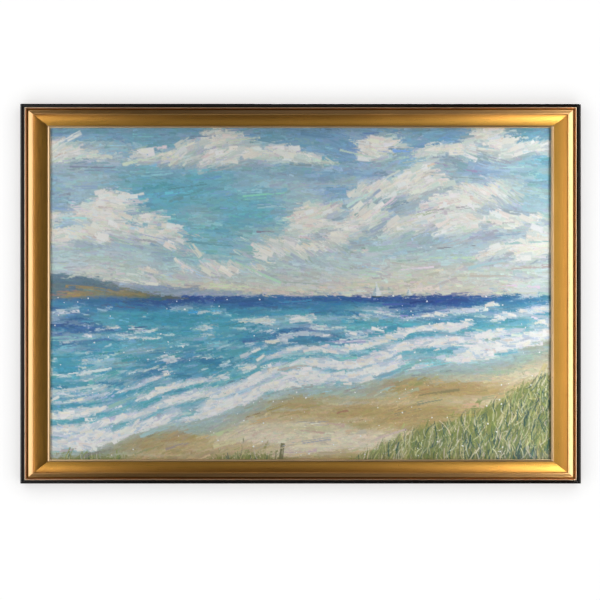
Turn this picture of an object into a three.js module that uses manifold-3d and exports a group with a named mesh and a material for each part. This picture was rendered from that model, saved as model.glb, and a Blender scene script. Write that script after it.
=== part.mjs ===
// A framed oil painting: four mitred lengths of gilt moulding with a black outer edge, and a canvas
// stretched over five wooden bars, held in the frame's rebate by offset clips. A sawtooth hanger and
// two rubber bumpers at the back meet the wall.
//
// Millimetres, +Z up. The painting faces -Y, and the wall is the plane y = 0. The origin is the middle
// of the hanger, on its face against the wall.

import * as THREE from "three";
import { mergeVertices } from "three/addons/utils/BufferGeometryUtils.js";
import Module from "manifold-3d";

const wasm = await Module();
wasm.setup();

// ---- Driving dimensions -------------------------------------------------------------------------

const CANVAS_WIDTH = 914.4; // 36 in, outside of the stretched canvas
const CANVAS_HEIGHT = 609.6; // 24 in
const SIGHT_OVERLAP = 6.35; // how far the frame's lip covers the canvas on each side
const STILE_WIDTH = 53.6; // left and right mouldings, seen from the front
const RAIL_WIDTH = 43.4; // top and bottom mouldings, a narrower cut of the same profile
const FRAME_DEPTH = 40; // back of the frame to the crest of its moulding
const STANDOFF = 5; // the bumpers' thickness, which keeps the frame's back off the wall
const HANGER_DROP = 18; // top edge of the frame down to the middle of the hanger
const FIT_GAP = 0.3; // clearance between pieces that lie against each other
const MITRE_GAP = 0.3; // hairline of each corner joint

const FRAME_WIDTH = CANVAS_WIDTH - 2 * SIGHT_OVERLAP + 2 * STILE_WIDTH;
const FRAME_HEIGHT = CANVAS_HEIGHT - 2 * SIGHT_OVERLAP + 2 * RAIL_WIDTH;

// The moulding's profile. Places across it are shares of its width, from its outer edge at 0 to its
// sight edge at 1, so that the wide stiles and the narrow rails meet at the mitres. Heights are above
// the frame's back.
const OUTER_WALL = 26; // top of the plain black side
const BLACK_BEAD = { crown: 0.055, inner: 0.108, height: 29.2 };
const QUIRK = { inner: 0.142, height: 27.4 }; // groove between the black bead and the gilt
const FILLET = { crown: 0.167, inner: 0.192, height: 30.2, foot: 28.8 }; // thin gilt line
const CREST = { outer: 0.202, crown: 0.37, inner: 0.48, shoulder: 38.3 }; // as high as the frame is deep
const SCOOP = { bend: 0.7, bendHeight: 30, inner: 0.922, height: 25.6 }; // hollow between crest and lip
const LIP = { crown: 0.96, height: 26.3, nose: 25, underside: 21 }; // sight-edge bead
const REBATE = 0.819; // wall of the rebate that holds the canvas
const BACK_CHAMFER = 1;

// The stretched canvas
const CLOTH = 0.8; // primed linen with its paint
const BAR_WIDTH = 38;
const BAR_THICKNESS = 16;
const BAR_LIP = 5; // the raised outer edge of a bar, which alone touches the cloth
const BAR_SLOPE = 3; // how far a bar falls away from the cloth to its inner edge
const BAR_CHAMFER = 1; // takes the sharp corner off under the fold of the cloth
const CROSS_BAR_THICKNESS = 11;
const TURN_BACK = 24; // cloth turned over onto the back of the bars

// Fixings
const SCREW = { head: 3.3, headTop: 2.3, headHeight: 1.7, shank: 1.6, point: 4, length: 13 };
const SCREW_HOLE = SCREW.shank + FIT_GAP;
const CLIP = { width: 15, thickness: 1.4, foot: 17, tongue: 17 };
const CLIPS_PER_RAIL = 2;
const CLIPS_PER_STILE = 1;
const HANGER = { length: 110, height: 18, thickness: 1.5, tab: 18, joggle: 5 };
const TOOTH = { pitch: 5, notch: 3.6, depth: 3 };
const BUMPER = { radius: 8, round: 1.2, fromEnd: 62 };

const CURVE_STEPS = 8;
const ROUND_SIDES = 12;

// Depth of the canvas in the frame, as heights above the frame's back
const CLOTH_FRONT = LIP.underside - FIT_GAP;
const BAR_FRONT = CLOTH_FRONT - CLOTH - FIT_GAP;
const BAR_BACK = BAR_FRONT - BAR_THICKNESS;
const CLOTH_BACK = BAR_BACK - FIT_GAP - CLOTH;

// ---- Materials ----------------------------------------------------------------------------------

const MATERIALS = {
  gilt: new THREE.MeshStandardMaterial({ color: 0xb98a43, roughness: 0.36, metalness: 0.9 }),
  pine: new THREE.MeshStandardMaterial({ color: 0xd3b386, roughness: 0.75, metalness: 0 }),
  painting: new THREE.MeshStandardMaterial({ color: 0x9fbfc6, roughness: 0.55, metalness: 0 }),
  steel: new THREE.MeshStandardMaterial({ color: 0xb9bab8, roughness: 0.35, metalness: 1 }),
  brass: new THREE.MeshStandardMaterial({ color: 0xb59a55, roughness: 0.35, metalness: 1 }),
  rubber: new THREE.MeshStandardMaterial({ color: 0x2b2b2b, roughness: 0.85, metalness: 0 }),
};

// ---- Solids and booleans ------------------------------------------------------------------------

function solidOf(geometry) {
  const bare = geometry.index ? geometry.toNonIndexed() : geometry.clone();
  bare.deleteAttribute("normal");
  bare.deleteAttribute("uv");
  const merged = mergeVertices(bare, 1e-3);
  const mesh = new wasm.Mesh({
    numProp: 3,
    vertProperties: merged.attributes.position.array,
    triVerts: new Uint32Array(merged.index.array),
  });
  return new wasm.Manifold(mesh);
}

function geometryOf(solid) {
  const mesh = solid.getMesh();
  const geometry = new THREE.BufferGeometry();
  geometry.setAttribute("position", new THREE.BufferAttribute(mesh.vertProperties, 3));
  geometry.setIndex(new THREE.BufferAttribute(mesh.triVerts, 1));
  geometry.computeVertexNormals();
  return geometry;
}

// geometry with every one of the cutters taken out of it
function cut(geometry, cutters) {
  let solid = solidOf(geometry);
  for (const cutter of cutters) {
    solid = solid.subtract(solidOf(cutter));
  }
  return geometryOf(solid);
}

function box(sizeX, sizeY, sizeZ, x, y, z) {
  return new THREE.BoxGeometry(sizeX, sizeY, sizeZ).translate(x, y, z);
}

// A round hole along Y, as a cutter, from y = from to y = to
function holeAlongY(radius, x, z, from, to) {
  const hole = new THREE.CylinderGeometry(radius, radius, to - from, ROUND_SIDES);
  return hole.translate(x, (from + to) / 2, z);
}

function named(name, geometry, material) {
  const mesh = new THREE.Mesh(geometry, MATERIALS[material]);
  mesh.name = name;
  return mesh;
}

// ---- Sides --------------------------------------------------------------------------------------
// Every side is made as the top one is: x along it, y = minus the height above the frame's back, and
// z = minus the distance in from its outer edge. A group turned about Y puts it in its place.

const SIDES = [
  { name: "top", turn: 0, across: [0, 1], rail: true },
  { name: "right", turn: Math.PI / 2, across: [1, 0], rail: false },
  { name: "bottom", turn: Math.PI, across: [0, -1], rail: true },
  { name: "left", turn: -Math.PI / 2, across: [-1, 0], rail: false },
];

// A group whose origin is the middle of that side of a width by height rectangle
function sideGroup(side, width, height) {
  const group = new THREE.Group();
  group.rotation.y = side.turn;
  group.position.set((side.across[0] * width) / 2, 0, (side.across[1] * height) / 2);
  return group;
}

// A profile, drawn as distance in from the outer edge by height, run along a side for that length
function runAlong(shape, length) {
  const geometry = new THREE.ExtrudeGeometry(shape, {
    depth: length,
    bevelEnabled: false,
    curveSegments: CURVE_STEPS,
  });
  const inward = new THREE.Vector3(0, 0, -1);
  const forward = new THREE.Vector3(0, -1, 0);
  const along = new THREE.Vector3(-1, 0, 0);
  geometry.applyMatrix4(new THREE.Matrix4().makeBasis(inward, forward, along));
  return geometry.translate(length / 2, 0, 0);
}

// The same, mitred so that each end is cut back by endRun over the profile's whole width
function mitredBar(shape, length, profileWidth, endRun) {
  const geometry = runAlong(shape, length);
  const places = geometry.attributes.position;
  for (let i = 0; i < places.count; i += 1) {
    const cutBack = (-places.getZ(i) / profileWidth) * endRun;
    const reach = (length - MITRE_GAP) / 2 - cutBack;
    places.setX(i, Math.sign(places.getX(i)) * reach);
  }
  return geometry;
}

// ---- The frame's mouldings ----------------------------------------------------------------------

function mouldingShape(width) {
  const at = (share) => share * width;
  // The crest's inner curve leaves it level and meets the scoop at the scoop's own slope.
  const scoopSlope = (CREST.shoulder - SCOOP.bendHeight) / (SCOOP.bend - CREST.inner);
  const brow = CREST.inner - (FRAME_DEPTH - CREST.shoulder) / scoopSlope;
  const shape = new THREE.Shape();
  shape.moveTo(0, BACK_CHAMFER);
  shape.lineTo(BACK_CHAMFER, 0);
  shape.lineTo(at(REBATE), 0);
  shape.lineTo(at(REBATE), LIP.underside);
  shape.lineTo(width, LIP.underside);
  shape.lineTo(width, LIP.nose);
  shape.quadraticCurveTo(width, LIP.height, at(LIP.crown), LIP.height);
  shape.quadraticCurveTo(at(SCOOP.inner), LIP.height, at(SCOOP.inner), SCOOP.height);
  shape.quadraticCurveTo(at(SCOOP.bend), SCOOP.bendHeight, at(CREST.inner), CREST.shoulder);
  shape.quadraticCurveTo(at(brow), FRAME_DEPTH, at(CREST.crown), FRAME_DEPTH);
  shape.quadraticCurveTo(at(CREST.outer), FRAME_DEPTH, at(CREST.outer), FILLET.foot);
  shape.lineTo(at(FILLET.inner), FILLET.foot);
  shape.quadraticCurveTo(at(FILLET.inner), FILLET.height, at(FILLET.crown), FILLET.height);
  shape.quadraticCurveTo(at(QUIRK.inner), FILLET.height, at(QUIRK.inner), QUIRK.height);
  shape.lineTo(at(BLACK_BEAD.inner), QUIRK.height);
  shape.quadraticCurveTo(
    at(BLACK_BEAD.inner), BLACK_BEAD.height, at(BLACK_BEAD.crown), BLACK_BEAD.height,
  );
  shape.quadraticCurveTo(0, BLACK_BEAD.height, 0, OUTER_WALL);
  shape.closePath();
  return shape;
}

// Where screws enter a side, as distances along it and in from its outer edge
function screwPlaces(side) {
  const clips = clipPlaces(side).map((x) => [x, clipScrewInset(side)]);
  if (side.name !== "top") {
    return clips;
  }
  return clips.concat(hangerScrewPlaces().map((x) => [x, HANGER_DROP]));
}

function moulding(side) {
  const width = side.rail ? RAIL_WIDTH : STILE_WIDTH;
  const endRun = side.rail ? STILE_WIDTH : RAIL_WIDTH;
  const length = side.rail ? FRAME_WIDTH : FRAME_HEIGHT;
  const bar = mitredBar(mouldingShape(width), length, width, endRun);
  const holes = screwPlaces(side).map(([x, inset]) =>
    holeAlongY(SCREW_HOLE, x, -inset, -SCREW.length - 1, 1),
  );
  const kind = side.rail ? "rail" : "stile";
  return named(`frame_${side.name}_${kind}`, cut(bar, holes), "gilt");
}

// ---- Screws, clips, hanger and bumpers ----------------------------------------------------------

// A pan-head screw along Y with the underside of its head at y = seat
function screw(name, x, seat, z) {
  const { head, headTop, headHeight, shank, point, length } = SCREW;
  const outline = [
    [0, seat - length],
    [shank, seat - length + point],
    [shank, seat],
    [head, seat],
    [head, seat + headHeight / 2],
    [headTop, seat + headHeight],
    [0, seat + headHeight],
  ];
  const points = outline.map(([radius, y]) => new THREE.Vector2(radius, y));
  const mesh = named(name, new THREE.LatheGeometry(points, ROUND_SIDES), "steel");
  mesh.position.set(x, 0, z);
  return mesh;
}

function rebateInset(side) {
  return REBATE * (side.rail ? RAIL_WIDTH : STILE_WIDTH);
}

// Even places along a side, such as its thirds for two clips
function clipPlaces(side) {
  const count = side.rail ? CLIPS_PER_RAIL : CLIPS_PER_STILE;
  const length = side.rail ? FRAME_WIDTH : FRAME_HEIGHT;
  return Array.from({ length: count }, (_, i) => ((i + 1) / (count + 1) - 0.5) * length);
}

function clipScrewInset(side) {
  return rebateInset(side) - CLIP.foot / 2;
}

// An offset clip: a foot on the frame's back, a step into the rebate, and a tongue over the canvas
function clip(name, side, x) {
  const start = rebateInset(side) - CLIP.foot;
  const step = rebateInset(side) + FIT_GAP;
  const end = step + CLIP.tongue;
  const footFace = -FIT_GAP / 2;
  const tongueFace = CLOTH_BACK - FIT_GAP;
  const outline = [
    [start, footFace - CLIP.thickness],
    [step + CLIP.thickness, footFace - CLIP.thickness],
    [step + CLIP.thickness, tongueFace - CLIP.thickness],
    [end, tongueFace - CLIP.thickness],
    [end, tongueFace],
    [step, tongueFace],
    [step, footFace],
    [start, footFace],
  ];
  const shape = new THREE.Shape(outline.map(([inset, height]) => new THREE.Vector2(inset, height)));
  const strip = runAlong(shape, CLIP.width);
  const hole = holeAlongY(SCREW_HOLE, 0, -clipScrewInset(side), -1, CLIP.thickness + 1);
  const mesh = named(name, cut(strip, [hole]), "steel");
  mesh.position.x = x;
  return mesh;
}

function clipsAndScrews(side) {
  const group = new THREE.Group();
  const seat = FIT_GAP / 2 + CLIP.thickness + FIT_GAP / 2;
  clipPlaces(side).forEach((x, i) => {
    const label = `${side.name}_${i + 1}`;
    group.add(clip(`clip_${label}`, side, x));
    group.add(screw(`clip_screw_${label}`, x, seat, -clipScrewInset(side)));
  });
  return group;
}

function hangerScrewPlaces() {
  const reach = (HANGER.length - HANGER.tab) / 2;
  return [-reach, reach];
}

// The hanger's strip, seen from above: a tab at each end on the wood, and a bridge against the wall
function hangerStrip() {
  const { thickness, joggle } = HANGER;
  const half = HANGER.length / 2;
  const knee = half - HANGER.tab;
  const bridge = knee - joggle;
  const tabFace = FIT_GAP / 2;
  const rise = STANDOFF - thickness - tabFace;
  const lead = thickness * Math.tan(Math.atan2(rise, joggle) / 2); // keeps the bends at full thickness
  const right = [
    [bridge, STANDOFF],
    [knee, tabFace + thickness],
    [half, tabFace + thickness],
    [half, tabFace],
    [knee - lead, tabFace],
    [bridge - lead, STANDOFF - thickness],
  ];
  const left = right.map(([x, y]) => [-x, y]).reverse();
  const outline = [...right, ...left].map(([x, y]) => new THREE.Vector2(x, y));
  const strip = new THREE.ExtrudeGeometry(new THREE.Shape(outline), {
    depth: HANGER.height,
    bevelEnabled: false,
  });
  return strip.translate(0, 0, -HANGER.height / 2);
}

// One notch of the hanger's lower edge, as a cutter
function toothNotch(x) {
  const { notch, depth } = TOOTH;
  const shape = new THREE.Shape([
    new THREE.Vector2(x - notch / 2, 0),
    new THREE.Vector2(x - notch / 2, -depth),
    new THREE.Vector2(x + notch / 2, -depth),
    new THREE.Vector2(x + notch / 2, 0),
    new THREE.Vector2(x, depth),
  ]);
  const cutter = new THREE.ExtrudeGeometry(shape, { depth: 2 * STANDOFF, bevelEnabled: false });
  cutter.rotateX(Math.PI / 2);
  return cutter.translate(0, STANDOFF + HANGER.thickness, -HANGER.height / 2);
}

function hanger() {
  const bridge = HANGER.length / 2 - HANGER.tab - HANGER.joggle;
  const count = Math.floor((2 * bridge) / TOOTH.pitch) - 1;
  const cutters = hangerScrewPlaces().map((x) =>
    holeAlongY(SCREW_HOLE, x, 0, -1, STANDOFF),
  );
  for (let i = 0; i < count; i += 1) {
    cutters.push(toothNotch((i - (count - 1) / 2) * TOOTH.pitch));
  }
  const group = new THREE.Group();
  group.position.z = -HANGER_DROP;
  group.add(named("sawtooth_hanger", cut(hangerStrip(), cutters), "brass"));
  const seat = FIT_GAP / 2 + HANGER.thickness + FIT_GAP / 2;
  hangerScrewPlaces().forEach((x, i) => {
    group.add(screw(`hanger_screw_${i + 1}`, x, seat, 0));
  });
  return group;
}

function bumper(name, x) {
  const { radius, round } = BUMPER;
  const profile = new THREE.Path();
  profile.moveTo(0, FIT_GAP / 2);
  profile.lineTo(radius, FIT_GAP / 2);
  profile.lineTo(radius, STANDOFF - round);
  profile.absarc(radius - round, STANDOFF - round, round, 0, Math.PI / 2, false);
  profile.lineTo(0, STANDOFF);
  const geometry = new THREE.LatheGeometry(profile.getPoints(3), 2 * ROUND_SIDES);
  const mesh = named(name, geometry, "rubber");
  mesh.position.set(x, 0, -HANGER_DROP);
  return mesh;
}

function bumpers() {
  const reach = FRAME_WIDTH / 2 - BUMPER.fromEnd;
  const group = new THREE.Group();
  // The bottom side is turned over, so its x runs from right to left.
  group.add(bumper("bumper_right", -reach));
  group.add(bumper("bumper_left", reach));
  return group;
}

// ---- The stretched canvas -----------------------------------------------------------------------

const BARS_WIDTH = CANVAS_WIDTH - 2 * (CLOTH + FIT_GAP);
const BARS_HEIGHT = CANVAS_HEIGHT - 2 * (CLOTH + FIT_GAP);

function stretcherShape() {
  const shape = new THREE.Shape();
  shape.moveTo(0, BAR_BACK);
  shape.lineTo(BAR_WIDTH, BAR_BACK);
  shape.lineTo(BAR_WIDTH, BAR_FRONT - BAR_SLOPE);
  shape.lineTo(BAR_LIP, BAR_FRONT);
  shape.lineTo(BAR_CHAMFER, BAR_FRONT);
  shape.lineTo(0, BAR_FRONT - BAR_CHAMFER);
  shape.closePath();
  return shape;
}

function stretcherBar(side) {
  const length = side.rail ? BARS_WIDTH : BARS_HEIGHT;
  const bar = mitredBar(stretcherShape(), length, BAR_WIDTH, BAR_WIDTH);
  return named(`stretcher_${side.name}_bar`, bar, "pine");
}

function crossBar() {
  const length = BARS_HEIGHT - 2 * (BAR_WIDTH + FIT_GAP);
  const middle = -(BAR_BACK + CROSS_BAR_THICKNESS / 2);
  const bar = box(BAR_WIDTH, CROSS_BAR_THICKNESS, length, 0, middle, 0);
  return named("stretcher_cross_bar", bar, "pine");
}

// The cloth: a front sheet, its sides, and the edges turned back over the bars, all one piece
function canvas() {
  const depth = CLOTH_FRONT - CLOTH_BACK;
  const middle = -(CLOTH_FRONT + CLOTH_BACK) / 2;
  const block = box(CANVAS_WIDTH, depth, CANVAS_HEIGHT, 0, middle, 0);
  const inside = box(
    CANVAS_WIDTH - 2 * CLOTH, depth - 2 * CLOTH, CANVAS_HEIGHT - 2 * CLOTH, 0, middle, 0,
  );
  const window = box(
    CANVAS_WIDTH - 2 * TURN_BACK, 4 * CLOTH, CANVAS_HEIGHT - 2 * TURN_BACK, 0, -CLOTH_BACK, 0,
  );
  return named("canvas", cut(block, [inside, window]), "painting");
}

// ---- The whole painting -------------------------------------------------------------------------

function framedPainting() {
  const painting = new THREE.Group();
  painting.position.set(0, -STANDOFF, HANGER_DROP - FRAME_HEIGHT / 2);
  for (const side of SIDES) {
    const frameSide = sideGroup(side, FRAME_WIDTH, FRAME_HEIGHT);
    frameSide.add(moulding(side), clipsAndScrews(side));
    if (side.name === "top") {
      frameSide.add(hanger());
    }
    if (side.name === "bottom") {
      frameSide.add(bumpers());
    }
    const barSide = sideGroup(side, BARS_WIDTH, BARS_HEIGHT);
    barSide.add(stretcherBar(side));
    painting.add(frameSide, barSide);
  }
  painting.add(crossBar(), canvas());
  return painting;
}

export default framedPainting();
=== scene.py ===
"""A framed seascape in oils: gilt mouldings with a black outer edge, a stretched canvas with paint in
relief, and the fixings at its back. Metres, +Z up, the painting faces -Y and hangs on the wall y = 0.
"""

import math

import bmesh
import bpy
import numpy as np
from bpy.props import FloatProperty, FloatVectorProperty, IntProperty, PointerProperty
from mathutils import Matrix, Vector


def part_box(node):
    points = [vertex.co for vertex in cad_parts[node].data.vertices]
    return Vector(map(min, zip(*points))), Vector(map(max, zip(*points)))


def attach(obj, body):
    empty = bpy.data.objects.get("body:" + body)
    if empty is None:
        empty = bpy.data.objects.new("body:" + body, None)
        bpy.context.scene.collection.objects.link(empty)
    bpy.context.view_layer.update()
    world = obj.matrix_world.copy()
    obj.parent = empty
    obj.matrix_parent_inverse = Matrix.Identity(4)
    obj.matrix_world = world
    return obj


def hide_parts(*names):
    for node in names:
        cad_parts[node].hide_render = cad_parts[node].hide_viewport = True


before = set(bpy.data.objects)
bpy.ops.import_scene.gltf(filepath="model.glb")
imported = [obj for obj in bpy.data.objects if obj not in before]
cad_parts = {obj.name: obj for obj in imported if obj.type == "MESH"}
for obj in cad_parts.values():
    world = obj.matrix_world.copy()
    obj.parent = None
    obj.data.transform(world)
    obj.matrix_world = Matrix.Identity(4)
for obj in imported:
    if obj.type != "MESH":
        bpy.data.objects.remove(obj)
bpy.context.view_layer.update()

bl_info = {
    "name": "Framed Seascape",
    "version": (1, 0, 0),
    "blender": (4, 5, 0),
    "location": "3D Viewport > Sidebar > Framed Seascape",
    "description": "Dresses the solid model of a framed oil painting",
    "category": "Object",
}

MM = 0.001
SIDES = ("top", "right", "bottom", "left")
MOULDING_NODES = {
    "top": "frame_top_rail",
    "right": "frame_right_stile",
    "bottom": "frame_bottom_rail",
    "left": "frame_left_stile",
}

# ---- Places, all from the solid model ---------------------------------------------------------------

TOP_LOW, TOP_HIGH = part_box("frame_top_rail")
LEFT_LOW, LEFT_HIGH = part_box("frame_left_stile")
RIGHT_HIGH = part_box("frame_right_stile")[1]
BOTTOM_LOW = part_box("frame_bottom_rail")[0]
CANVAS_LOW, CANVAS_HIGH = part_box("canvas")
FRAME_LEFT, FRAME_RIGHT = LEFT_LOW.x, RIGHT_HIGH.x
FRAME_BOTTOM, FRAME_TOP = BOTTOM_LOW.z, TOP_HIGH.z
FRAME_BACK = TOP_HIGH.y
FRAME_FRONT = TOP_LOW.y
RAIL_WIDTH = TOP_HIGH.z - TOP_LOW.z
STILE_WIDTH = LEFT_HIGH.x - LEFT_LOW.x
FRAME_WIDTH = FRAME_RIGHT - FRAME_LEFT
FRAME_HEIGHT = FRAME_TOP - FRAME_BOTTOM
MIDDLE = Vector((0, 0, (FRAME_TOP + FRAME_BOTTOM) / 2))
CANVAS_WIDTH = CANVAS_HIGH.x - CANVAS_LOW.x
CANVAS_HEIGHT = CANVAS_HIGH.z - CANVAS_LOW.z
CANVAS_FRONT, CANVAS_BACK = CANVAS_LOW.y, CANVAS_HIGH.y
SIGHT_WIDTH = FRAME_WIDTH - 2 * STILE_WIDTH
SIGHT_HEIGHT = FRAME_HEIGHT - 2 * RAIL_WIDTH


# ---- Settings ---------------------------------------------------------------------------------------


def length_of(name, description, default):
    return FloatProperty(name=name, description=description, default=default, unit="LENGTH", precision=5)


def share_of(name, description, default):
    return FloatProperty(name=name, description=description, default=default, min=0, max=1)


def colour_of(name, description, code):
    """A colour that is shown and stored as the eye sees it, from a code such as #c9a866."""
    value = [int(code[i : i + 2], 16) / 255 for i in (1, 3, 5)]
    return FloatVectorProperty(
        name=name, description=description, default=value, subtype="COLOR_GAMMA", size=3, min=0, max=1
    )


def power_of(name, description, default):
    return FloatProperty(name=name, description=description, default=default, unit="POWER", min=0)


class StudioSettings(bpy.types.PropertyGroup):
    """Camera, wall, floor and lights."""

    lens: FloatProperty(name="Lens", description="Focal length in millimetres", default=120, min=10)
    camera_distance: length_of("Camera distance", "Lens to the frame's outer edge", 3.6)
    camera_drop: length_of("Camera drop", "How far the camera sits below the middle of the frame", 0.0114)
    floor_drop: length_of("Floor drop", "Floor below the middle of the frame", 2.0)
    wall: colour_of("Wall", "Paint of the wall", "#f7f7f7")
    floor: colour_of("Floor", "Pale floor", "#e8e6e2")
    ambient: FloatProperty(name="Ambient", description="Light from all round the room", default=0.01, min=0)
    wall_wash: power_of("Wall wash", "Large lamp that lights the wall alone", 150)
    left_light: power_of("Left light", "Each of the tall lamps at the left", 1.5)
    right_light: power_of("Right light", "Tall lamp close at the right", 2.5)
    right_corners: power_of("Right corners", "Lamps above and below at the right", 10)
    left_corners: power_of("Left corners", "Lamps above and below at the left", 3)
    high_and_low: power_of("High and low", "Lamps above and below, further in front", 0.5)
    front: power_of("Front", "Lamp by the camera", 2.5)
    back_fill: power_of("Back fill", "Lamp behind, for views of the back", 60)


class MouldingSettings(bpy.types.PropertyGroup):
    """The moulding's profile and finish. Shares are of its width, from the outer edge in."""

    bead: length_of("Black bead", "Height of the black bead above the frame's back", 0.0292)
    fillet: length_of("Fillet", "Height of the thin gilt fillet", 0.0302)
    shoulder: length_of("Shoulder", "Height where the crest turns into the scoop", 0.0383)
    lip: length_of("Lip", "Height of the lip at the sight edge", 0.0263)
    rebate: share_of("Rebate", "Where the rebate's wall stands", 0.819)
    black_edge: share_of("Black edge", "Where the black stops and the gilding starts", 0.142)
    ripple: length_of("Ripple", "Unevenness of the gesso under the gilding", 0.00005)
    # Painted light and shade: the gilt tones below are one gilding made lighter or darker zone by zone,
    # standing in for how light falls across the profile. The pale fillet and lip, the crest, the bright lower
    # scoop and the amber side are painted light. The darker foot and the upper scoop are painted shade.
    gilt_fillet: colour_of("Gilt, fillet", "Pale gilding of the thin fillet", "#f6dcb4")
    gilt_side: colour_of("Gilt, side", "Amber gilding below the crest", "#f09a40")
    gilt_foot: colour_of("Gilt, foot", "Toned gilding where the crest starts", "#b57e3a")
    gilt_crest: colour_of("Gilt, crest", "Pale polished gilding of the crest", "#cf9a4e")
    gilt_turn: colour_of("Gilt, turn", "Gilding where the crest turns into the scoop", "#dca250")
    gilt_deep: colour_of("Gilt, deep", "Gilding high in the scoop", "#cc8f45")
    gilt_scoop: colour_of("Gilt, scoop", "Gilding low in the scoop", "#fabe5a")
    gilt_lip: colour_of("Gilt, lip", "Gilding of the lip", "#f0cc98")
    bole: colour_of("Bole", "Warm brown clay that shows in the grooves", "#5a3310")
    black: colour_of("Black", "Ebonised outer edge", "#060505")
    bare_wood: colour_of("Bare wood", "Wood at the back of the mouldings", "#c9a878")


class PaintingSettings(bpy.types.PropertyGroup):
    """The paint and its colours."""

    seed: IntProperty(
        name="Seed", description="Another number paints another picture of the kind", default=11, min=0
    )
    relief: FloatProperty(
        name="Relief", description="Thickness of the paint, 1 as laid", default=0.8, min=0.1, max=1
    )
    horizon: share_of("Horizon", "Where the horizon stands, from the top of the picture", 0.505)
    droplets: IntProperty(
        name="Droplets", description="Flecks of paint thrown over the surf", default=420, min=0
    )
    ground: colour_of("Ground", "Warm ground under the paint", "#d3b787")
    zenith: colour_of("Zenith", "Sky overhead", "#86b8d4")
    turquoise: colour_of("Turquoise", "Clear openings in the sky", "#66bcd2")
    periwinkle: colour_of("Periwinkle", "Violet-blue passages of the sky", "#84b0da")
    haze: colour_of("Haze", "Hazy sky", "#bcd8e0")
    low_sky: colour_of("Low sky", "Sky above the horizon", "#d8e6e6")
    peach: colour_of("Peach", "Warm light low in the sky", "#eadfca")
    cloud_lit: colour_of("Cloud, lit", "Sunny side of the clouds", "#f5f3ea")
    cloud_cream: colour_of("Cloud, cream", "Body of the clouds", "#dce8e4")
    cloud_lilac: colour_of("Cloud, lilac", "Reflected light in the clouds", "#bccadc")
    cloud_shade: colour_of("Cloud, shade", "Undersides of the clouds", "#9fbccb")
    offing: colour_of("Offing", "Sea at the horizon", "#3a74ae")
    deep: colour_of("Deep water", "Open sea", "#48a6c4")
    ultramarine: colour_of("Ultramarine", "Dark streaks in the sea", "#2a4397")
    teal: colour_of("Teal", "Water over sand", "#6cc0d0")
    shallow: colour_of("Shallows", "Water at the shore", "#9ad2d6")
    foam: colour_of("Foam", "Surf", "#f8fbfa")
    foam_lilac: colour_of("Foam, shade", "Shaded surf", "#cadcec")
    sand: colour_of("Sand", "Beach", "#d8c89e")
    sand_light: colour_of("Sand, light", "Sunlit beach", "#efe6cf")
    sand_dark: colour_of("Sand, dark", "Ochre in the beach", "#b89e66")
    wet_sand: colour_of("Wet sand", "Beach at the water", "#a9c4c4")
    olive: colour_of("Olive", "Dune", "#8c9660")
    grass: colour_of("Grass", "Dune grass", "#8f9a58")
    grass_light: colour_of("Grass, light", "Sunlit dune grass", "#d8d498")
    dusk_green: colour_of("Dusk green", "Deep shade in the dune", "#2f565c")
    far_hill: colour_of("Far headland", "Far headland", "#9db2cb")
    near_hill: colour_of("Near headland", "Near headland", "#64859a")


class CanvasSettings(bpy.types.PropertyGroup):
    """The cloth and the bars it is stretched over."""

    cloth: length_of("Cloth", "Thickness of the primed cloth", 0.0008)
    turn_back: length_of("Turn-back", "Cloth folded over the back of the bars", 0.024)
    fold: length_of("Fold", "Radius of the cloth over the edge of the bars", 0.0012)
    thread: length_of("Thread", "From one thread of the weave to the next", 0.00055)
    staple_spacing: length_of("Staple spacing", "From one staple to the next", 0.045)
    raw: colour_of("Raw cloth", "Unprimed back of the cloth", "#cdbd9b")
    primer: colour_of("Primer", "White primer on the face of the cloth", "#eeeae0")
    pine: colour_of("Pine", "Early wood of the bars", "#dcbf90")
    pine_dark: colour_of("Pine, dark", "Late wood of the bars", "#b98d58")


class FixingSettings(bpy.types.PropertyGroup):
    """Screws, clips, hanger and bumpers."""

    screw_head: length_of("Screw head", "Radius of a screw's head", 0.0033)
    recess: length_of("Recess", "Length of the cross in a screw's head", 0.0038)
    zinc: colour_of("Zinc", "Bright zinc plate", "#c9cdd0")
    steel: colour_of("Clip steel", "Galvanised strip", "#b4b8ba")
    brass: colour_of("Brass", "Brass-plated hanger", "#b09058")
    rubber: colour_of("Rubber", "Soft bumpers", "#57534e")


class SceneSettings(bpy.types.PropertyGroup):
    """All the settings of the framed seascape."""

    studio: PointerProperty(type=StudioSettings)
    moulding: PointerProperty(type=MouldingSettings)
    painting: PointerProperty(type=PaintingSettings)
    canvas: PointerProperty(type=CanvasSettings)
    fixing: PointerProperty(type=FixingSettings)


# ---- Node building ----------------------------------------------------------------------------------


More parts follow.
